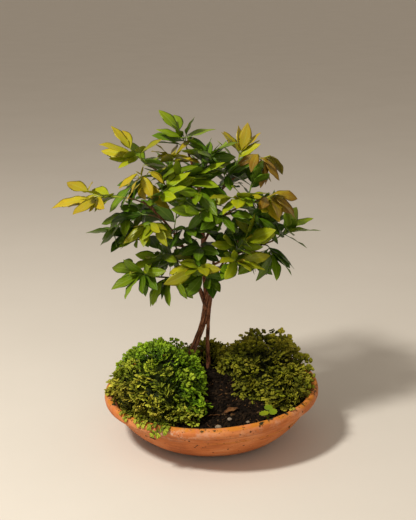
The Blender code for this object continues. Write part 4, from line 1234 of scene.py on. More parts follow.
def litter_mesh():
    rng = random.Random("litter")
    gathered = Gathered()
    for _ in range(FIBRES):
        add_fibre(gathered, rng)
    for _ in range(FLAKES):
        add_flake(gathered, rng)
    return gathered.mesh("soil_litter")


# Wood

WOOD_SIDES = 14
WOOD_STEP = 3 * MM
FEWEST_RINGS = 6
BARK_VOXEL = 0.55 * MM
SMOOTH_ROUNDS = 2
SMOOTH_STRENGTH = 0.4
RIDGE_WIDTH = 1.5 * MM
RIDGE_LENGTH = 11 * MM
RIDGE_DEPTH = 0.16  # of the local radius
DEEPEST_RIDGE = 0.55 * MM
FINE_RIDGE_HEIGHT = 0.5  # of the wide ridges
FINE_RIDGE_RATE = 2.3  # how many of them lie on a wide one
LIMB_SHIFT = 0.1  # metres along the noise from one limb to the next, so that their ridges differ
OLD_RADIUS = 4 * MM  # wood this thick has fully old bark
RIDGE_SHADING = 0.7  # how strongly a ridge shows in the bark's colour, as painted shade and painted highlight


def wood_runs(plan):
    """A fine path and its radii for every stem, root, limb and twig."""
    runs = []
    for start, end, points in LIMBS.values():
        runs.append(([tree_place(p) for p in points], start * MM, end * MM))
    for start, end, points in ROOTS.values():
        runs.append(([tree_place(p) for p in points], start * MM * ROOT_FLARE, end * MM))
    for twig, _, _ in plan.values():
        runs.append((twig, *TWIG_RADII))
    made = []
    for points, start, end in runs:
        count = max(FEWEST_RINGS, round(path_length(points) / WOOD_STEP))
        path = smooth_path(points, count)
        shares = [i / (count - 1) for i in range(count)]
        made.append((path, [start + (end - start) * share ** TAPER for share in shares]))
    return made


def wood_samples(runs):
    """The paths' points, each with its radius, its direction and how far along the limb it is."""
    samples = []
    for number, (path, radii) in enumerate(runs):
        run = 0.0
        for i, (point, radius) in enumerate(zip(path, radii)):
            ahead = (path[min(i + 1, len(path) - 1)] - path[max(i - 1, 0)]).normalized()
            run += (point - path[max(i - 1, 0)]).length
            samples.append((point, radius, ahead, run + number * LIMB_SHIFT))
    return samples


def wood_skin(runs):
    """One smooth skin over all the paths."""
    gathered = Gathered()
    for path, radii in runs:
        add_tube(gathered, path, radii, WOOD_SIDES, (0, 0, 0))
    obj = helper(gathered.mesh("wood_skin"))
    remesh = obj.modifiers.new("skin", "REMESH")
    remesh.mode = "VOXEL"
    remesh.voxel_size = BARK_VOXEL
    smoothing = obj.modifiers.new("even", "SMOOTH")
    smoothing.iterations = SMOOTH_ROUNDS
    smoothing.factor = SMOOTH_STRENGTH
    return applied(obj)


def wood_mesh(plan):
    """One skin over all the wood, with long ridges of bark on the thick parts."""
    runs = wood_runs(plan)
    mesh = wood_skin(runs)
    samples = wood_samples(runs)
    tree = KDTree(len(samples))
    for i, sample in enumerate(samples):
        tree.insert(sample[0], i)
    tree.balance()
    tints = []
    for vertex in mesh.vertices:
        _, i, _ = tree.find(vertex.co)
        point, radius, ahead, run = samples[i]
        out = vertex.co - point
        out -= ahead * out.dot(ahead)
        out.normalize()
        place = out * (radius / RIDGE_WIDTH) + ahead * (run / RIDGE_LENGTH)
        ridge = noise.noise(place) + FINE_RIDGE_HEIGHT * noise.noise(place * FINE_RIDGE_RATE)
        vertex.co += out * ridge * min(RIDGE_DEPTH * radius, DEEPEST_RIDGE)
        # the second tint is the ridge's height, for the bark's painted shade and highlight
        tints += [min(1, radius / OLD_RADIUS), min(max(ridge * RIDGE_SHADING + 0.5, 0), 1), 0]
    layer = mesh.attributes.new("tint", "FLOAT_VECTOR", "POINT")
    layer.data.foreach_set("vector", tints)
    mesh.shade_smooth()
    return mesh


# Leaves

LEAF_ACROSS = np.array([1, 0.66, 0.33, 0, -0.33, -0.66, -1, -0.66, -0.33, 0, 0.33, 0.66])
LEAF_FACE = np.array([0.5] + [0] * 5 + [0.5] + [1] * 5)  # 0 underneath and 1 on top
LEAF_ROWS = 13
YOUNG_ROWS = 9
ROW_ENDS = (0.015, 0.985)  # the first and the last row, from the leaf's base to its tip
BLADE_START = 0.06  # the stalk's share of the leaf
BLADE_WIDEST = 0.90  # under 1 sets the widest place towards the base
BLADE_ROUNDNESS = 0.62  # lower is blunter at the base
TIP_SHARPNESS = 0.26  # how much more pointed the tip is
STALK_HALF = 0.45 * MM
STALK_TAPER = 0.6
BLADE_HALF_THICKNESS = 0.16 * MM
EDGE_THINNING = 0.5
MIDRIB_RELIEF = 0.22 * MM
LEAF_FOLD = 0.12  # how far the halves rise from the midrib, of the half-width
WAVE_COUNTS = (1.4, 2.6)  # along the leaf's edge
EDGE_WAVE = 0.10  # of the half-width
SWAY = 0.05  # of the leaf's length, how far its middle bends aside
TWIST = 0.35  # radians from base to tip
LEAF_GROWTH = 1.1  # how much longer and wider a drawn leaf is than the solid one it covers

YOUNG_LEAF = 0.42  # the length of the young leaves at a stem's end, of the shoot's leaves
YOUNG_PLACE = 0.95  # along the stem
YOUNG_TURN = 0.4
YOUNG_TONE = 0.15  # how much yellower they are
YOUNG_FROM = 0.3  # the least tone of a shoot that has them
STEM_RINGS = 10
STEM_SIDES = 8

BRONZE_SHOOTS = {"upper_right_tip": 0.99, "right_tip": 0.97}
GOLD_LIMIT = 0.84  # the highest tone of a leaf on the other shoots
FOOT_LIMIT = 0.8  # and of a leaf near any shoot's foot
FOOT_SHARE = 0.4  # of the stem
END_TONE = 0.10  # how much yellower a shoot is at its end than its SHOOTS tone
FOOT_TONE = 0.24  # and how much greener at its foot
TONE_SHIFTS = {
    "front_left": -0.11, "front_right": -0.10, "right_front": -0.10, "left_yellow": -0.08,
    "upper_left": -0.06, "crown_left": -0.05, "left_shade": 0.14, "left_dark": 0.12, "right_dark": 0.12,
    "left_low_core": 0.10, "low_right_hang": 0.10, "low_left_tip": 0.08, "front_core": 0.10,
    "right_core": 0.06, "low_right_upper": 0.10, "right_upper_mid": 0.06, "front_low_core": 0.06,
}


def add_leaf(gathered, leaf, tone, rng, rows=LEAF_ROWS, wave_share=1.0, curl=0.0):
    """One leaf blade on a short stalk, a thin closed body with a fold, a wavy edge and a drawn-out tip."""
    base, direction, side, normal, length, arch = leaf
    half = length * LEAF_WIDTH_SHARE / 2
    u = np.linspace(*ROW_ENDS, rows)[:, None]
    blade = np.clip((u - BLADE_START) / (1 - BLADE_START), 0, 1)
    width = np.sin(np.pi * blade ** BLADE_WIDEST) ** (BLADE_ROUNDNESS + TIP_SHARPNESS * blade)
    width = np.maximum(half * width, STALK_HALF * (1 - STALK_TAPER * u))
    waves = rng.uniform(*WAVE_COUNTS)
    phase = rng.uniform(0, FULL_TURN)
    sway = rng.uniform(-SWAY, SWAY)
    twist = rng.uniform(-TWIST, TWIST) * u
    across = LEAF_ACROSS[None, :]
    spread = width * across
    lift = LEAF_FOLD * np.abs(spread) - curl * np.abs(spread) * u
    ripple = np.sin(2 * np.pi * waves * u + phase + across)
    lift = lift + wave_share * EDGE_WAVE * width * across ** 2 * ripple
    body = BLADE_HALF_THICKNESS * (1 - EDGE_THINNING * across ** 2) + MIDRIB_RELIEF * (1 - u) * (across == 0)
    lift = lift + (LEAF_FACE[None, :] * 2 - 1) * body
    out = spread * np.cos(twist) - lift * np.sin(twist)
    rise = spread * np.sin(twist) + lift * np.cos(twist)
    d, s, n = (np.array(v) for v in (direction, side, normal))
    line = np.array(base) + length * (u * d + sway * np.sin(np.pi * u) * s - arch * u * u * n)
    rings = line[:, None, :] + out[:, :, None] * s + rise[:, :, None] * n
    points = lofted_points(rings, np.array(base), np.array(base) + length * (d - arch * n))
    tints = np.empty((len(points), 3))
    tints[:, 0] = tone
    tints[:, 1] = rng.random()
    tints[:-2, 2] = np.tile(LEAF_FACE, rows)
    tints[-2:, 2] = 1
    places = np.zeros((len(points), 3))
    places[:-2, 0] = np.tile(across[0] * 0.5 + 0.5, rows)
    places[:-2, 1] = np.repeat(u[:, 0], len(LEAF_FACE))
    places[-2:, 0] = 0.5
    places[-1, 1] = 1
    gathered.add(points, lofted_faces(rows, len(LEAF_FACE)), tints, places)


def leaf_tone(name, leaf, stem):
    """Older leaves, low on the stem, are greener than the new ones at its end."""
    tone = SHOOTS[name][5] + TONE_SHIFTS.get(name, 0)
    share = min(1, (leaf[0] - stem[0]).length / path_length(stem))
    tone += (END_TONE + FOOT_TONE) * share - FOOT_TONE
    limit = BRONZE_SHOOTS.get(name, GOLD_LIMIT) if share > FOOT_SHARE else FOOT_LIMIT
    return min(limit, max(0, tone))


def young_leaves(rng, stem, size):
    """Two small new leaves where the stem ends."""
    turns = (-YOUNG_TURN, YOUNG_TURN)
    return [leaf_try(rng, stem, YOUNG_PLACE, turn, size * YOUNG_LEAF, 0.0, 0.2) for turn in turns]


def shoot_mesh(name, stems, leaves):
    rng = random.Random(name + " looks")
    gathered = Gathered()
    size, tone = SHOOTS[name][4:6]
    for stem in stems:
        path = smooth_path(stem, STEM_RINGS)
        radii = ring_values(*STEM_RADII, STEM_RINGS)
        add_tube(gathered, path, radii, STEM_SIDES, (min(0.75, tone * 0.6 + 0.2), rng.random(), 1))
    if tone > YOUNG_FROM:
        for leaf in young_leaves(rng, stems[0], size):
            add_leaf(gathered, leaf, min(GOLD_LIMIT, tone + YOUNG_TONE), rng, YOUNG_ROWS)
    for leaf in leaves:
        drawn = (*leaf[:4], leaf[4] * LEAF_GROWTH, leaf[5])
        add_leaf(gathered, drawn, leaf_tone(name, leaf, stems[0]), rng)
    return gathered.mesh("leaves_" + name)


# Moss

FRONDS = {"moss_left": 205, "moss_right": 195, "moss_rear": 70}
FROND_SIZES = (19, 34)  # millimetres
TUFTS = {"moss_left": 430, "moss_right": 400, "moss_rear": 130}
TUFT_SIZES = (7, 12)  # millimetres
KINDS = 12  # of fronds, and as many of tufts

# A lobe, the small flat leaf that all the moss is made of
LOBE_RINGS = ((0.2, 0.5), (0.6, 1.0), (0.9, 0.72))  # share of the lobe's length, of its half-width
LOBE_SIDES = 4
LOBE_RISE = 0.35  # half the thickness above the middle, of the half-width
LOBE_BELLY = 0.5  # and below it, of the one above

# A frond, of unit length: a spine of overlapping lobes, with a branch on alternate sides at each place
LOBE_HALF_WIDTH = 0.064
SPINE_HALF_WIDTH = 0.035
BRANCH_HALF_WIDTH = 0.038
SPINE_LOBES = ((0, 0.32), (0.28, 0.6), (0.55, 0.85))
SPINE_ARCH = 0.22
DROOPS = (0.1, 0.4)
SIDE_BEND = 0.12
BRANCHES = (0.24, 0.40, 0.55, 0.70)
BRANCH_ANGLES = (0.7, 1.0)  # radians from the spine
BRANCH_REACH = 0.54
REACH_LOSS = 0.34  # from the spine's foot to its end
SIDE_ANGLES = (0.8, 1.1)  # radians from the branch to its two side lobes
SIDE_LENGTH = 0.15
BRANCH_FAN = (0.17, 0.62)  # the length of the end lobes, and the radians between them
END_FAN = (0.19, 0.55)
END_FOOT = 0.82  # where a fan starts, along its spine or branch

# A tuft, of about unit length
TUFT_LOBES = 6
TUFT_HALF_WIDTH = 0.16
# how light the tufts are: low, as painted shade in the gaps between the fronds
TUFT_LIGHTS = (0.14, 0.40)

# The cushions
SINKS = {"moss_left": 12 * MM, "moss_right": 18 * MM, "moss_rear": 14 * MM}  # under the CAD surface
CORE_SHARE = 0.90  # of the cushion's width
CORE_LUMP = 3.5 * MM
CORE_LUMP_SIZE = 4 * MM
# the core's tint: low on the moss's light scale, as painted shade inside the cushion
CORE_SHADE_TINT = (0.3, 0.4, 0.15)
RIM_MARGIN = 1 * MM  # between the moss and the rim under it
RIM_INSIDE = 13 * MM  # from the bowl's radius in to where the rim ends
RIM_DEPTH = 9 * MM  # how far under the rim's top a point is still moved up onto it
WALL_INSIDE = 15 * MM  # and in to where lower points are moved
LOWEST_NORMAL = -0.25  # fronds grow where the cushion's surface doesn't face further down
TUFT_NORMAL = -0.1  # the same limit for the tufts
SPOT_SPACING = 0.55  # the least between two fronds, of an even spacing
SPOT_TRIES = 14  # for each frond
MOSS_REACH = BOWL_RADIUS - 14 * MM  # the radius that low fronds stay inside
HIGH = 9 * MM  # over the rim, from where a frond may reach further out
HIGH_REACH = 10 * MM  # how much further
EDGE_SHARE = 0.55  # of their size, the fronds that grow beside the rim
UPRIGHT_SHARE = 0.2  # of the fronds, those that stand up out of the cushion
UPRIGHT_STANDS = (1.2, 2.2)  # how steeply a frond leaves the surface
LEVEL_STANDS = (0.25, 0.85)
UPRIGHT_SIZE = 0.9
UPRIGHT_FOOT = 0.25  # of a frond's length, how much of it starts under the sunk surface
LEVEL_FOOT = 0.15
MIDDLE = 8 * MM  # nearer to the cushion's middle a frond may point anywhere
SWING = 0.8  # radians, how far fronds stray from pointing away from the middle
ROLL = 0.6
FROND_LIFT = 0.2  # how strongly fronds turn up
EDGE_LIFT = 1.2  # and how much more at the rim
FACE_LIFT = 0.4  # how strongly their faces do
DRAPED_RISE = 0.35  # of a frond's own height, where it lies over the rim
SPRIG_FOOT = 8 * MM  # how much of a sprig starts below its place
SPRIG_OUTLOOK = Vector((0, -1, 0.3))  # where its face looks

# How olive the moss is
OLIVE_PATCH = 22 * MM
OLIVE_CHANGE = 0.45
LEFT_TONE = 0.1
OLIVE_EDGE = (62 * MM, 45 * MM, 50 * MM)  # left and front of the axis where it starts, and its run
OLIVE_GAIN = 0.6
RIGHT_TONE = 0.24
MOST_OLIVE = 0.6  # on the right and rear cushions

DRAPED = {  # fronds that hang over the rim: degrees round it, then length and start inside it in mm
    "moss_left": [(-140, 25, 16), (-130, 28, 17), (-118, 33, 16)],
    "moss_right": [(-44, 22, 20)],
    "moss_rear": [],
}
SPRIGS = {  # tall sprigs: the foot in x, y and z and the length in millimetres, and the lean to the right
    "moss_left": [(-72, 18, 104, 30, 0.1), (-48, 22, 106, 27, 0.2), (-98, 12, 98, 27, -0.4),
                  (-30, 30, 92, 22, 0.2), (-112, 0, 84, 26, -0.8), (-60, 10, 106, 26, -0.2),
                  (-84, 16, 102, 25, -0.3)],
    "moss_right": [(86, 26, 106, 38, 0.2), (95, 30, 101, 30, 0.3), (66, 34, 102, 24, 0.0),
                   (106, 28, 90, 30, 0.6), (44, 38, 100, 22, -0.2), (22, 40, 98, 22, -0.1),
                   (112, 18, 84, 32, 0.9), (118, 0, 78, 28, 1.0), (116, -22, 76, 26, 1.1),
                   (56, 34, 102, 22, 0.2), (33, 38, 99, 22, 0.1)],
    "moss_rear": [(0, 60, 92, 24, 0.0), (-14, 56, 90, 24, -0.2)],
}


def add_lobe(gathered, start, end, half_width, tints):
    """A small flat closed lobe, narrow at its foot and blunt at its end."""
    run = end - start
    side = Vector((-run.y, run.x, 0)).normalized()
    rise = run.cross(side).normalized() * half_width * LOBE_RISE
    rings = []
    for share, width in LOBE_RINGS:
        middle = start + run * share
        out = side * half_width * width
        upper = middle + rise * width
        lower = middle - rise * width * LOBE_BELLY
        rings.append([middle + out, upper, middle - out, lower])
    gathered.add(lofted_points(rings, start, end), lofted_faces(len(LOBE_RINGS), LOBE_SIDES), tints)


def way_at(angle, lift):
    """A level direction at this angle, with some lift."""
    return Vector((math.cos(angle), math.sin(angle), lift))


def add_fan(gathered, rng, foot, angle, light, reach, spread):
    """The three lobes that a branch or a spine ends in."""
    for fork in (-spread, 0, spread):
        way = way_at(angle + fork, rng.uniform(-0.25, 0.35))
        length = reach * rng.uniform(0.85, 1.15) * (1 if fork else 1.15)
        add_lobe(gathered, foot, foot + way * length, LOBE_HALF_WIDTH, (0, 0, light))


def add_branch(gathered, rng, foot, turn, t):
    """A side branch from this place (t) on the spine: its own lobe, two side lobes and a fan at its end."""
    angle = turn * rng.uniform(*BRANCH_ANGLES)
    reach = (BRANCH_REACH - REACH_LOSS * t) * rng.uniform(0.85, 1.2)
    ahead = way_at(angle, rng.uniform(-0.15, 0.35)) * reach
    add_lobe(gathered, foot, foot + ahead * 0.9, BRANCH_HALF_WIDTH, (0, 0, 0.25 + 0.4 * t))
    for side in (-1, 1):
        way = angle + side * rng.uniform(*SIDE_ANGLES)
        tip = foot + ahead * 0.45 + way_at(way, rng.uniform(0, 0.4)) * SIDE_LENGTH
        add_lobe(gathered, foot + ahead * 0.4, tip, LOBE_HALF_WIDTH * 0.85, (0, 0, 0.45 + 0.4 * t))
    add_fan(gathered, rng, foot + ahead * END_FOOT, angle, 0.6 + 0.4 * t, *BRANCH_FAN)


def frond(rng):
    """A forked frond of unit length near the XY plane, its tip along +X."""
    gathered = Gathered()
    droop = rng.uniform(*DROOPS)
    bend = rng.uniform(-SIDE_BEND, SIDE_BEND)

    def spine(t):
        return Vector((t, bend * math.sin(3 * t), SPINE_ARCH * math.sin(2.6 * t) - droop * t * t))

    for low, high in SPINE_LOBES:
        add_lobe(gathered, spine(low), spine(high), SPINE_HALF_WIDTH, (0, 0, high * 0.6))
    turn = rng.choice((-1, 1))
    for t in BRANCHES:
        turn = -turn
        add_branch(gathered, rng, spine(t), turn, t)
    add_fan(gathered, rng, spine(END_FOOT), 0, 1, *END_FAN)
    return np.concatenate(gathered.points), gathered.faces, np.concatenate(gathered.tints)


def tuft(rng):
    """A few short lobes of about unit length that spread from one foot round +Z."""
    gathered = Gathered()
    for k in range(TUFT_LOBES):
        angle = 2 * math.pi * k / TUFT_LOBES + rng.uniform(-0.4, 0.4)
        way = way_at(angle, rng.uniform(0.5, 1.2)).normalized()
        tints = (0, 0, rng.uniform(*TUFT_LIGHTS))
        add_lobe(gathered, way * 0.05, way * rng.uniform(0.7, 1), TUFT_HALF_WIDTH, tints)
    return np.concatenate(gathered.points), gathered.faces, np.concatenate(gathered.tints)


def spots_on(mesh, count, rng):
    """Evenly spread places on the mesh's sides and top, with their normals."""
    mesh.calc_loop_triangles()
    triangles = []
    weights = []
    for triangle in mesh.loop_triangles:
        if triangle.normal.z > LOWEST_NORMAL:
            triangles.append([mesh.vertices[i].co for i in triangle.vertices])
            weights.append(triangle.area)
    spacing = SPOT_SPACING * math.sqrt(sum(weights) / count)
    spots = []
    for corners in rng.choices(triangles, weights, k=count * SPOT_TRIES):
        a, b = rng.random(), rng.random()
        if a + b > 1:
            a, b = 1 - a, 1 - b
        place = corners[0] + (corners[1] - corners[0]) * a + (corners[2] - corners[0]) * b
        if len(spots) >= count:
            break
        if any((place - other).length_squared < spacing ** 2 for other, _ in spots):
            continue
        normal = (corners[1] - corners[0]).cross(corners[2] - corners[0]).normalized()
        spots.append((place, normal))
    return spots


def moss_tone(name, place):
    """How olive the moss is here: more to the front left of the left cushion and all over the others."""
    patch = noise.noise(place / OLIVE_PATCH) * OLIVE_CHANGE
    if name == "moss_left":
        left, front, run = OLIVE_EDGE
        edge = (-place.x - left) / run + (-place.y - front) / run
        return min(max(LEFT_TONE + patch + OLIVE_GAIN * edge, 0), 1)
    return min(max(RIGHT_TONE + patch, 0), MOST_OLIVE)


def clear_of_bowl(points):
    """The points, moved up onto the rim or in from the bowl's wall where they would pass through it."""
    radius = np.hypot(points[:, 0], points[:, 1])
    rim = BOWL_HEIGHT + RIM_TILT * points[:, 0] + RIM_MARGIN
    on_rim = (radius > BOWL_RADIUS - RIM_INSIDE) & (radius < BOWL_RADIUS + RIM_MARGIN)
    over = on_rim & (points[:, 2] > rim - RIM_DEPTH)
    points[:, 2] = np.where(over, np.maximum(points[:, 2], rim), points[:, 2])
    limit = BOWL_RADIUS - WALL_INSIDE
    deep = (radius > limit) & ~over
    share = np.where(deep, limit / np.maximum(radius, 1 * MM), 1)
    points[:, :2] *= share[:, None]
    return points


def add_core(gathered, mesh, sink):
    """The core under the fronds, dark as painted shade: the cushion's own shape, drawn in and roughened.

    Returns its upper points with their normals.
    """
    bm = bmesh.new()
    bm.from_mesh(mesh)
    bmesh.ops.remove_doubles(bm, verts=bm.verts, dist=0.01 * MM)
    bmesh.ops.subdivide_edges(bm, edges=bm.edges, cuts=2, use_grid_fill=True)
    bmesh.ops.recalc_face_normals(bm, faces=bm.faces)
    middle = sum((vertex.co for vertex in bm.verts), Vector()) / len(bm.verts)
    points = []
    for vertex in bm.verts:
        place = middle + (vertex.co - middle) * CORE_SHARE
        rough = vertex.normal * (CORE_LUMP * noise.noise(vertex.co / CORE_LUMP_SIZE))
        points.append((place.x + rough.x, place.y + rough.y, place.z + rough.z - sink))
    faces = [[vertex.index for vertex in face.verts] for face in bm.faces]
    points = clear_of_bowl(np.array(points))
    # dark all over, as painted shade inside the cushion
    gathered.add(points, faces, CORE_SHADE_TINT)
    upper = [(Vector(point), vertex.normal.copy()) for point, vertex in zip(points.tolist(), bm.verts)
             if vertex.normal.z > TUFT_NORMAL]
    bm.free()
    return upper


def toned(tints, tone):
    """A copy of the tints with this tone and chance."""
    tints = tints.copy()
    tints[:, :2] = tone
    return tints


def add_draped(gathered, kind, tone, degrees, size, inside):
    """A frond that starts this far inside the rim's crest, crosses it and hangs down outside."""
    points, faces, tints = kind
    bend = LIP_DEPTH + RIM_MARGIN
    quarter = bend * math.pi / 2
    run = points[:, 0] * size - inside
    lift = np.abs(points[:, 2]) * size * DRAPED_RISE
    turn = np.clip(run, 0, quarter) / bend
    centre = BOWL_RADIUS - LIP_DEPTH
    radius = centre + np.minimum(run, 0) + (bend + lift) * np.sin(turn)
    angle = math.radians(degrees) + points[:, 1] * size / BOWL_RADIUS
    x, y = radius * np.cos(angle), radius * np.sin(angle)
    crest = BOWL_HEIGHT + RIM_TILT * x - LIP_DEPTH
    z = crest + (bend + lift) * np.cos(turn) - np.maximum(run - quarter, 0)
    gathered.add(np.stack([x, y, z], axis=1), faces, toned(tints, tone))


def add_frond(gathered, kind, tone, base, direction, size, outlook, roll):
    side, face = leaf_axes(direction, roll, outlook)
    points, faces, tints = kind
    placed = clear_of_bowl(np.array(base) + points * size @ np.array([direction, -side, face]))
    gathered.add(placed, faces, toned(tints, tone))


def over_edge(tip):
    """Whether a frond with this tip would lie on the rim. Those well above it may reach further out."""
    high = tip.z > BOWL_HEIGHT + RIM_TILT * tip.x + HIGH
    return math.hypot(tip.x, tip.y) > MOSS_REACH + (HIGH_REACH if high else 0)


def add_tufts(gathered, rng, name, upper):
    """Short tufts all over the core, which fill the gaps between the fronds."""
    kinds = [tuft(rng) for _ in range(KINDS)]
    for place, normal in rng.choices(upper, k=TUFTS[name]):
        size = rng.uniform(*TUFT_SIZES) * MM
        tone = (moss_tone(name, place), rng.random())
        way = normal.orthogonal().normalized()
        add_frond(gathered, rng.choice(kinds), tone, place - normal * MM, way, size, normal, 0)


def add_fronds(gathered, rng, name, kinds):
    """Fronds that point away from the cushion's middle. Some stand up, and those at the rim are short."""
    low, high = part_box(name)
    middle = (low + high) / 2
    sink = SINKS[name]
    for place, normal in spots_on(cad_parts[name].data, FRONDS[name], rng):
        outward = Vector((place.x - middle.x, place.y - middle.y, 0))
        level = outward - normal * outward.dot(normal)
        if level.length < MIDDLE:
            level = normal.orthogonal()
        swing = Matrix.Rotation(rng.gauss(0, SWING), 3, normal)
        upright = rng.random() < UPRIGHT_SHARE
        stand = rng.uniform(*(UPRIGHT_STANDS if upright else LEVEL_STANDS))
        direction = (swing @ level.normalized() + normal * stand + UP * FROND_LIFT).normalized()
        size = rng.uniform(*FROND_SIZES) * MM * (UPRIGHT_SIZE if upright else 1)
        base = place - normal * sink - direction * size * (UPRIGHT_FOOT if upright else LEVEL_FOOT)
        kind = rng.choice(kinds)
        tone = (moss_tone(name, place), rng.random())
        if over_edge(base + direction * size):
            direction = (direction + UP * EDGE_LIFT).normalized()
            size *= EDGE_SHARE
            base = place - normal * sink * EDGE_SHARE - direction * size * LEVEL_FOOT
            if over_edge(base + direction * size):
                continue
        outlook = normal + UP * FACE_LIFT
        add_frond(gathered, kind, tone, base, direction, size, outlook, rng.uniform(-ROLL, ROLL))


def add_sprigs(gathered, rng, name, kinds):
    """The tall sprigs that stand out of the cushion's top."""
    for x, y, z, length, right in SPRIGS[name]:
        lean = Vector((right + rng.uniform(-0.15, 0.15), rng.uniform(-0.4, 0.1), 1)).normalized()
        place = Vector((x, y, z)) * MM
        tone = (min(moss_tone(name, place) + 0.1, 1), rng.uniform(0.4, 1))
        foot = place - lean * SPRIG_FOOT
        add_frond(gathered, rng.choice(kinds), tone, foot, lean, length * MM, SPRIG_OUTLOOK, 0)


def moss_mesh(name):
    rng = random.Random(name)
    kinds = [frond(rng) for _ in range(KINDS)]
    gathered = Gathered()
    upper = add_core(gathered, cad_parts[name].data, SINKS[name])
    add_tufts(gathered, rng, name, upper)
    add_fronds(gathered, rng, name, kinds)
    add_sprigs(gathered, rng, name, kinds)
    for degrees, length, inside in DRAPED[name]:
        tone = (rng.uniform(0.4, 0.7), rng.uniform(0.3, 0.7))
        add_draped(gathered, rng.choice(kinds), tone, degrees, length * MM, inside * MM)
    return gathered.mesh(name + "_fronds")


# Small things

PEBBLE_SIZE = 0.95  # of its half-sizes, before the dents
PEBBLE_DENTS = ((0.12, 1.3), (0.05, 5))  # depth and frequency, of the half-size
PEBBLE_REACH = 1.12  # of its half-sizes, the most that a pebble has with its dents
LEAFLET_SIZE = 5.6 * MM
LEAFLET_WIDTH = 0.85
LEAFLET_THICKNESS = 0.07
SCALLOPS = 9  # round a leaflet
SCALLOP_DEPTH = 0.07
LEAFLET_OVAL = 0.10  # how far it strays from round
LEAFLET_CUP = 0.22  # how high its edge stands
LEAFLET_WAVE = 0.04  # how much the scallops change that
STALK_RINGS = 9
DRAWN_LENGTH = 0.85  # of the CAD leaf's
DRY_ROWS = 15


def pebble_mesh(name):
    x, y, *half_sizes = PEBBLES[name]
    points, faces = ball(4)
    shift = Vector((x, y, 0))
    shaped = []
    for point in points:
        way = Vector(point)
        dent = PEBBLE_SIZE
        for depth, rate in PEBBLE_DENTS:
            dent += depth * noise.noise(way * rate + shift)
        shaped.append([a * b * MM * dent for a, b in zip(way, half_sizes)])
    lift = soil_height(x * MM, y * MM) + half_sizes[2] * MM * PEBBLE_REACH + GAP
    gathered = Gathered()
    gathered.add(np.array(shaped) + (x * MM, y * MM, lift), faces, (0, 0, 0))
    return gathered.mesh(name + "_stone")


def leaflet_point(point, turn):
    """A ball's point, moved onto a flat round leaflet with a scalloped edge and a cupped middle."""
    angle = math.atan2(point[1], point[0])
    edge = 1 + SCALLOP_DEPTH * math.cos(SCALLOPS * angle) + LEAFLET_OVAL * math.cos(2 * angle + turn)
    reach = math.hypot(point[0], point[1])
    cup = LEAFLET_CUP * reach ** 2 + LEAFLET_WAVE * math.cos(SCALLOPS * angle) * reach
    return Vector((
        point[0] * edge, point[1] * LEAFLET_WIDTH * edge, point[2] * LEAFLET_THICKNESS + cup - 0.1))


def seedling_mesh():
    """Three round scalloped leaflets on stalks."""
    rng = random.Random("seedling")
    x, y = (value * MM for value in SEEDLING_PLACE)
    foot = Vector((x, y, soil_height(x, y) + SOIL_LUMP + GAP))
    gathered = Gathered()
    points, faces = ball(4)
    for place in SEEDLING_STALKS:
        top = foot + Vector(place) * MM
        path = smooth_path([foot - UP * 2 * MM, foot.lerp(top, 0.5) + UP * 2 * MM, top], STALK_RINGS)
        radii = ring_values(STALK_RADIUS, STALK_RADIUS * 0.7, STALK_RINGS)
        add_tube(gathered, path, radii, 8, (0.5, 0.5, 1))
        forward = Matrix.Rotation(rng.uniform(0.2, 0.7), 3, "X")
        tilt = forward @ Matrix.Rotation(rng.uniform(-0.3, 0.3), 3, "Y")
        shaped = [tilt @ leaflet_point(point, 9 * place[0]) * LEAFLET_SIZE for point in points]
        tints = (rng.uniform(0.5, 0.62), rng.random() * 0.4, 1)
        gathered.add(np.array(shaped) + np.array(top), faces, tints, (0.6, 0.5, 0))
    return gathered.mesh("seedling_leaflets")


def fallen_leaf_mesh(name):
    """A dry leaf whose edges have curled up."""
    rng = random.Random(name)
    x, y, degrees, length = FALLEN_LEAVES[name]
    direction = Vector((math.cos(math.radians(degrees)), math.sin(math.radians(degrees)), 0))
    base = Vector((x * MM, y * MM, 0)) - direction * length * MM / 2
    samples = [base + direction * length * MM * share for share in (0, 0.25, 0.5, 0.75, 1)]
    height = max(soil_height(point.x, point.y) for point in samples) + SOIL_LUMP
    base.z = height + LEAF_HALF_THICKNESS + GAP
    side, normal = leaf_axes(direction, 0.15, UP)
    gathered = Gathered()
    leaf = (base, direction, side, normal, length * DRAWN_LENGTH * MM, -0.06)
    add_leaf(gathered, leaf, LITTER_TONE, rng, DRY_ROWS, wave_share=2.0, curl=-0.5)
    return gathered.mesh(name + "_curled")


# Studio

FLOOR_SIZE = 70.0
CAMERA_PLACE = (-0.0044, -1.232, 0.593)
CAMERA_TILT = math.radians(73.9)
CAMERA_LENS = 70
WORLD_COLOUR = (1.0, 0.87, 0.72)
WORLD_STRENGTH = 0.42
LIGHT_TARGET = Vector((0, 0, 0.15))
LIGHTS = {  # place, size, power and colour
    "key": ((-0.95, -0.85, 1.70), 0.30, 44, (1, 0.95, 0.86)),
    "front_fill": ((0.5, -2.2, 1.0), 1.8, 7, (1, 0.94, 0.84)),
}


def add_light(name, place, size, power, colour):
    data = bpy.data.lights.new(name, "AREA")
    data.shape = "DISK"
    data.size = size
    data.energy = power
    data.color = colour
    light = bpy.data.objects.new(name, data)
    light.location = place
    light.rotation_euler = (LIGHT_TARGET - Vector(place)).to_track_quat("-Z", "Y").to_euler()
    bpy.context.scene.collection.objects.link(light)


def make_floor():
    bm = bmesh.new()
    bmesh.ops.create_circle(bm, cap_ends=True, segments=96, radius=FLOOR_SIZE / 2)
    mesh = bpy.data.meshes.new("studio_floor")
    bm.to_mesh(mesh)
    bm.free()
    mesh.materials.append(floor_material())
    floor = bpy.data.objects.new("studio_floor", mesh)
    bpy.context.scene.collection.objects.link(floor)


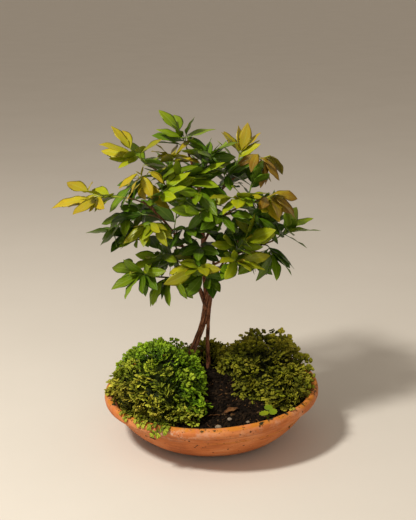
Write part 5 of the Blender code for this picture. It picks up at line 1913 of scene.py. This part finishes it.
def make_studio():
    make_floor()
    world = bpy.data.worlds.new("studio")
    world.use_nodes = True
    background = world.node_tree.nodes["Background"]
    background.inputs["Color"].default_value = (*WORLD_COLOUR, 1)
    background.inputs["Strength"].default_value = WORLD_STRENGTH
    bpy.context.scene.world = world
    for name, (place, size, power, colour) in LIGHTS.items():
        add_light(name, place, size, power, colour)
    camera = bpy.data.objects.new("camera", bpy.data.cameras.new("camera"))
    camera.data.lens = CAMERA_LENS
    camera.location = CAMERA_PLACE
    camera.rotation_euler = (CAMERA_TILT, 0, 0)
    bpy.context.scene.collection.objects.link(camera)
    bpy.context.scene.camera = camera
    bpy.context.scene.view_settings.view_transform = "Standard"


# The object

LEAF_SLOTS = ("leaf_green", "leaf_lime", "leaf_gold")


def main():
    plan = plan_tree()
    leaf_finishes = {slot: leaf_material(slot + "_blade") for slot in LEAF_SLOTS}
    moss_finishes = {
        "moss_bright": moss_material("moss_bright_frond", BRIGHT_MOSS),
        "moss_dark": moss_material("moss_dark_shaded_frond", DARK_SHADED_MOSS),
    }
    dry = dry_material()
    stone = stone_material()

    add_piece("bowl_clay", bowl_mesh(), clay_material(), "terracotta", "bowl")
    add_piece("soil_crumbs", soil_mesh(), soil_material(), "potting_soil", "soil")
    add_piece("soil_litter", litter_mesh(), dry, "dry_leaf")
    add_piece("tree_bark", wood_mesh(plan), bark_material(), "bark", "tree_wood")
    for name, (_, stems, leaves) in plan.items():
        slot = shoot_material(SHOOTS[name][5])
        mesh = shoot_mesh(name, stems, leaves)
        add_piece("leaves_" + name, mesh, leaf_finishes[slot], slot, "shoot_" + name)
    for name in FRONDS:
        # the right and rear cushions take the moss that holds painted shade from the crown
        slot = "moss_bright" if name == "moss_left" else "moss_dark"
        add_piece(name + "_fronds", moss_mesh(name), moss_finishes[slot], slot, name)
    for name in PEBBLES:
        add_piece(name + "_stone", pebble_mesh(name), stone, "pale_stone", name)
    add_piece("seedling_leaflets", seedling_mesh(), leaf_finishes["leaf_lime"], "leaf_lime", "seedling")
    for name in FALLEN_LEAVES:
        add_piece(name + "_curled", fallen_leaf_mesh(name), dry, "dry_leaf", name)
    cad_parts["drainage_grit"].data.materials[0] = grit_material()
    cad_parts["drainage_mesh"].data.materials[0] = plastic_material()
    make_studio()


main()
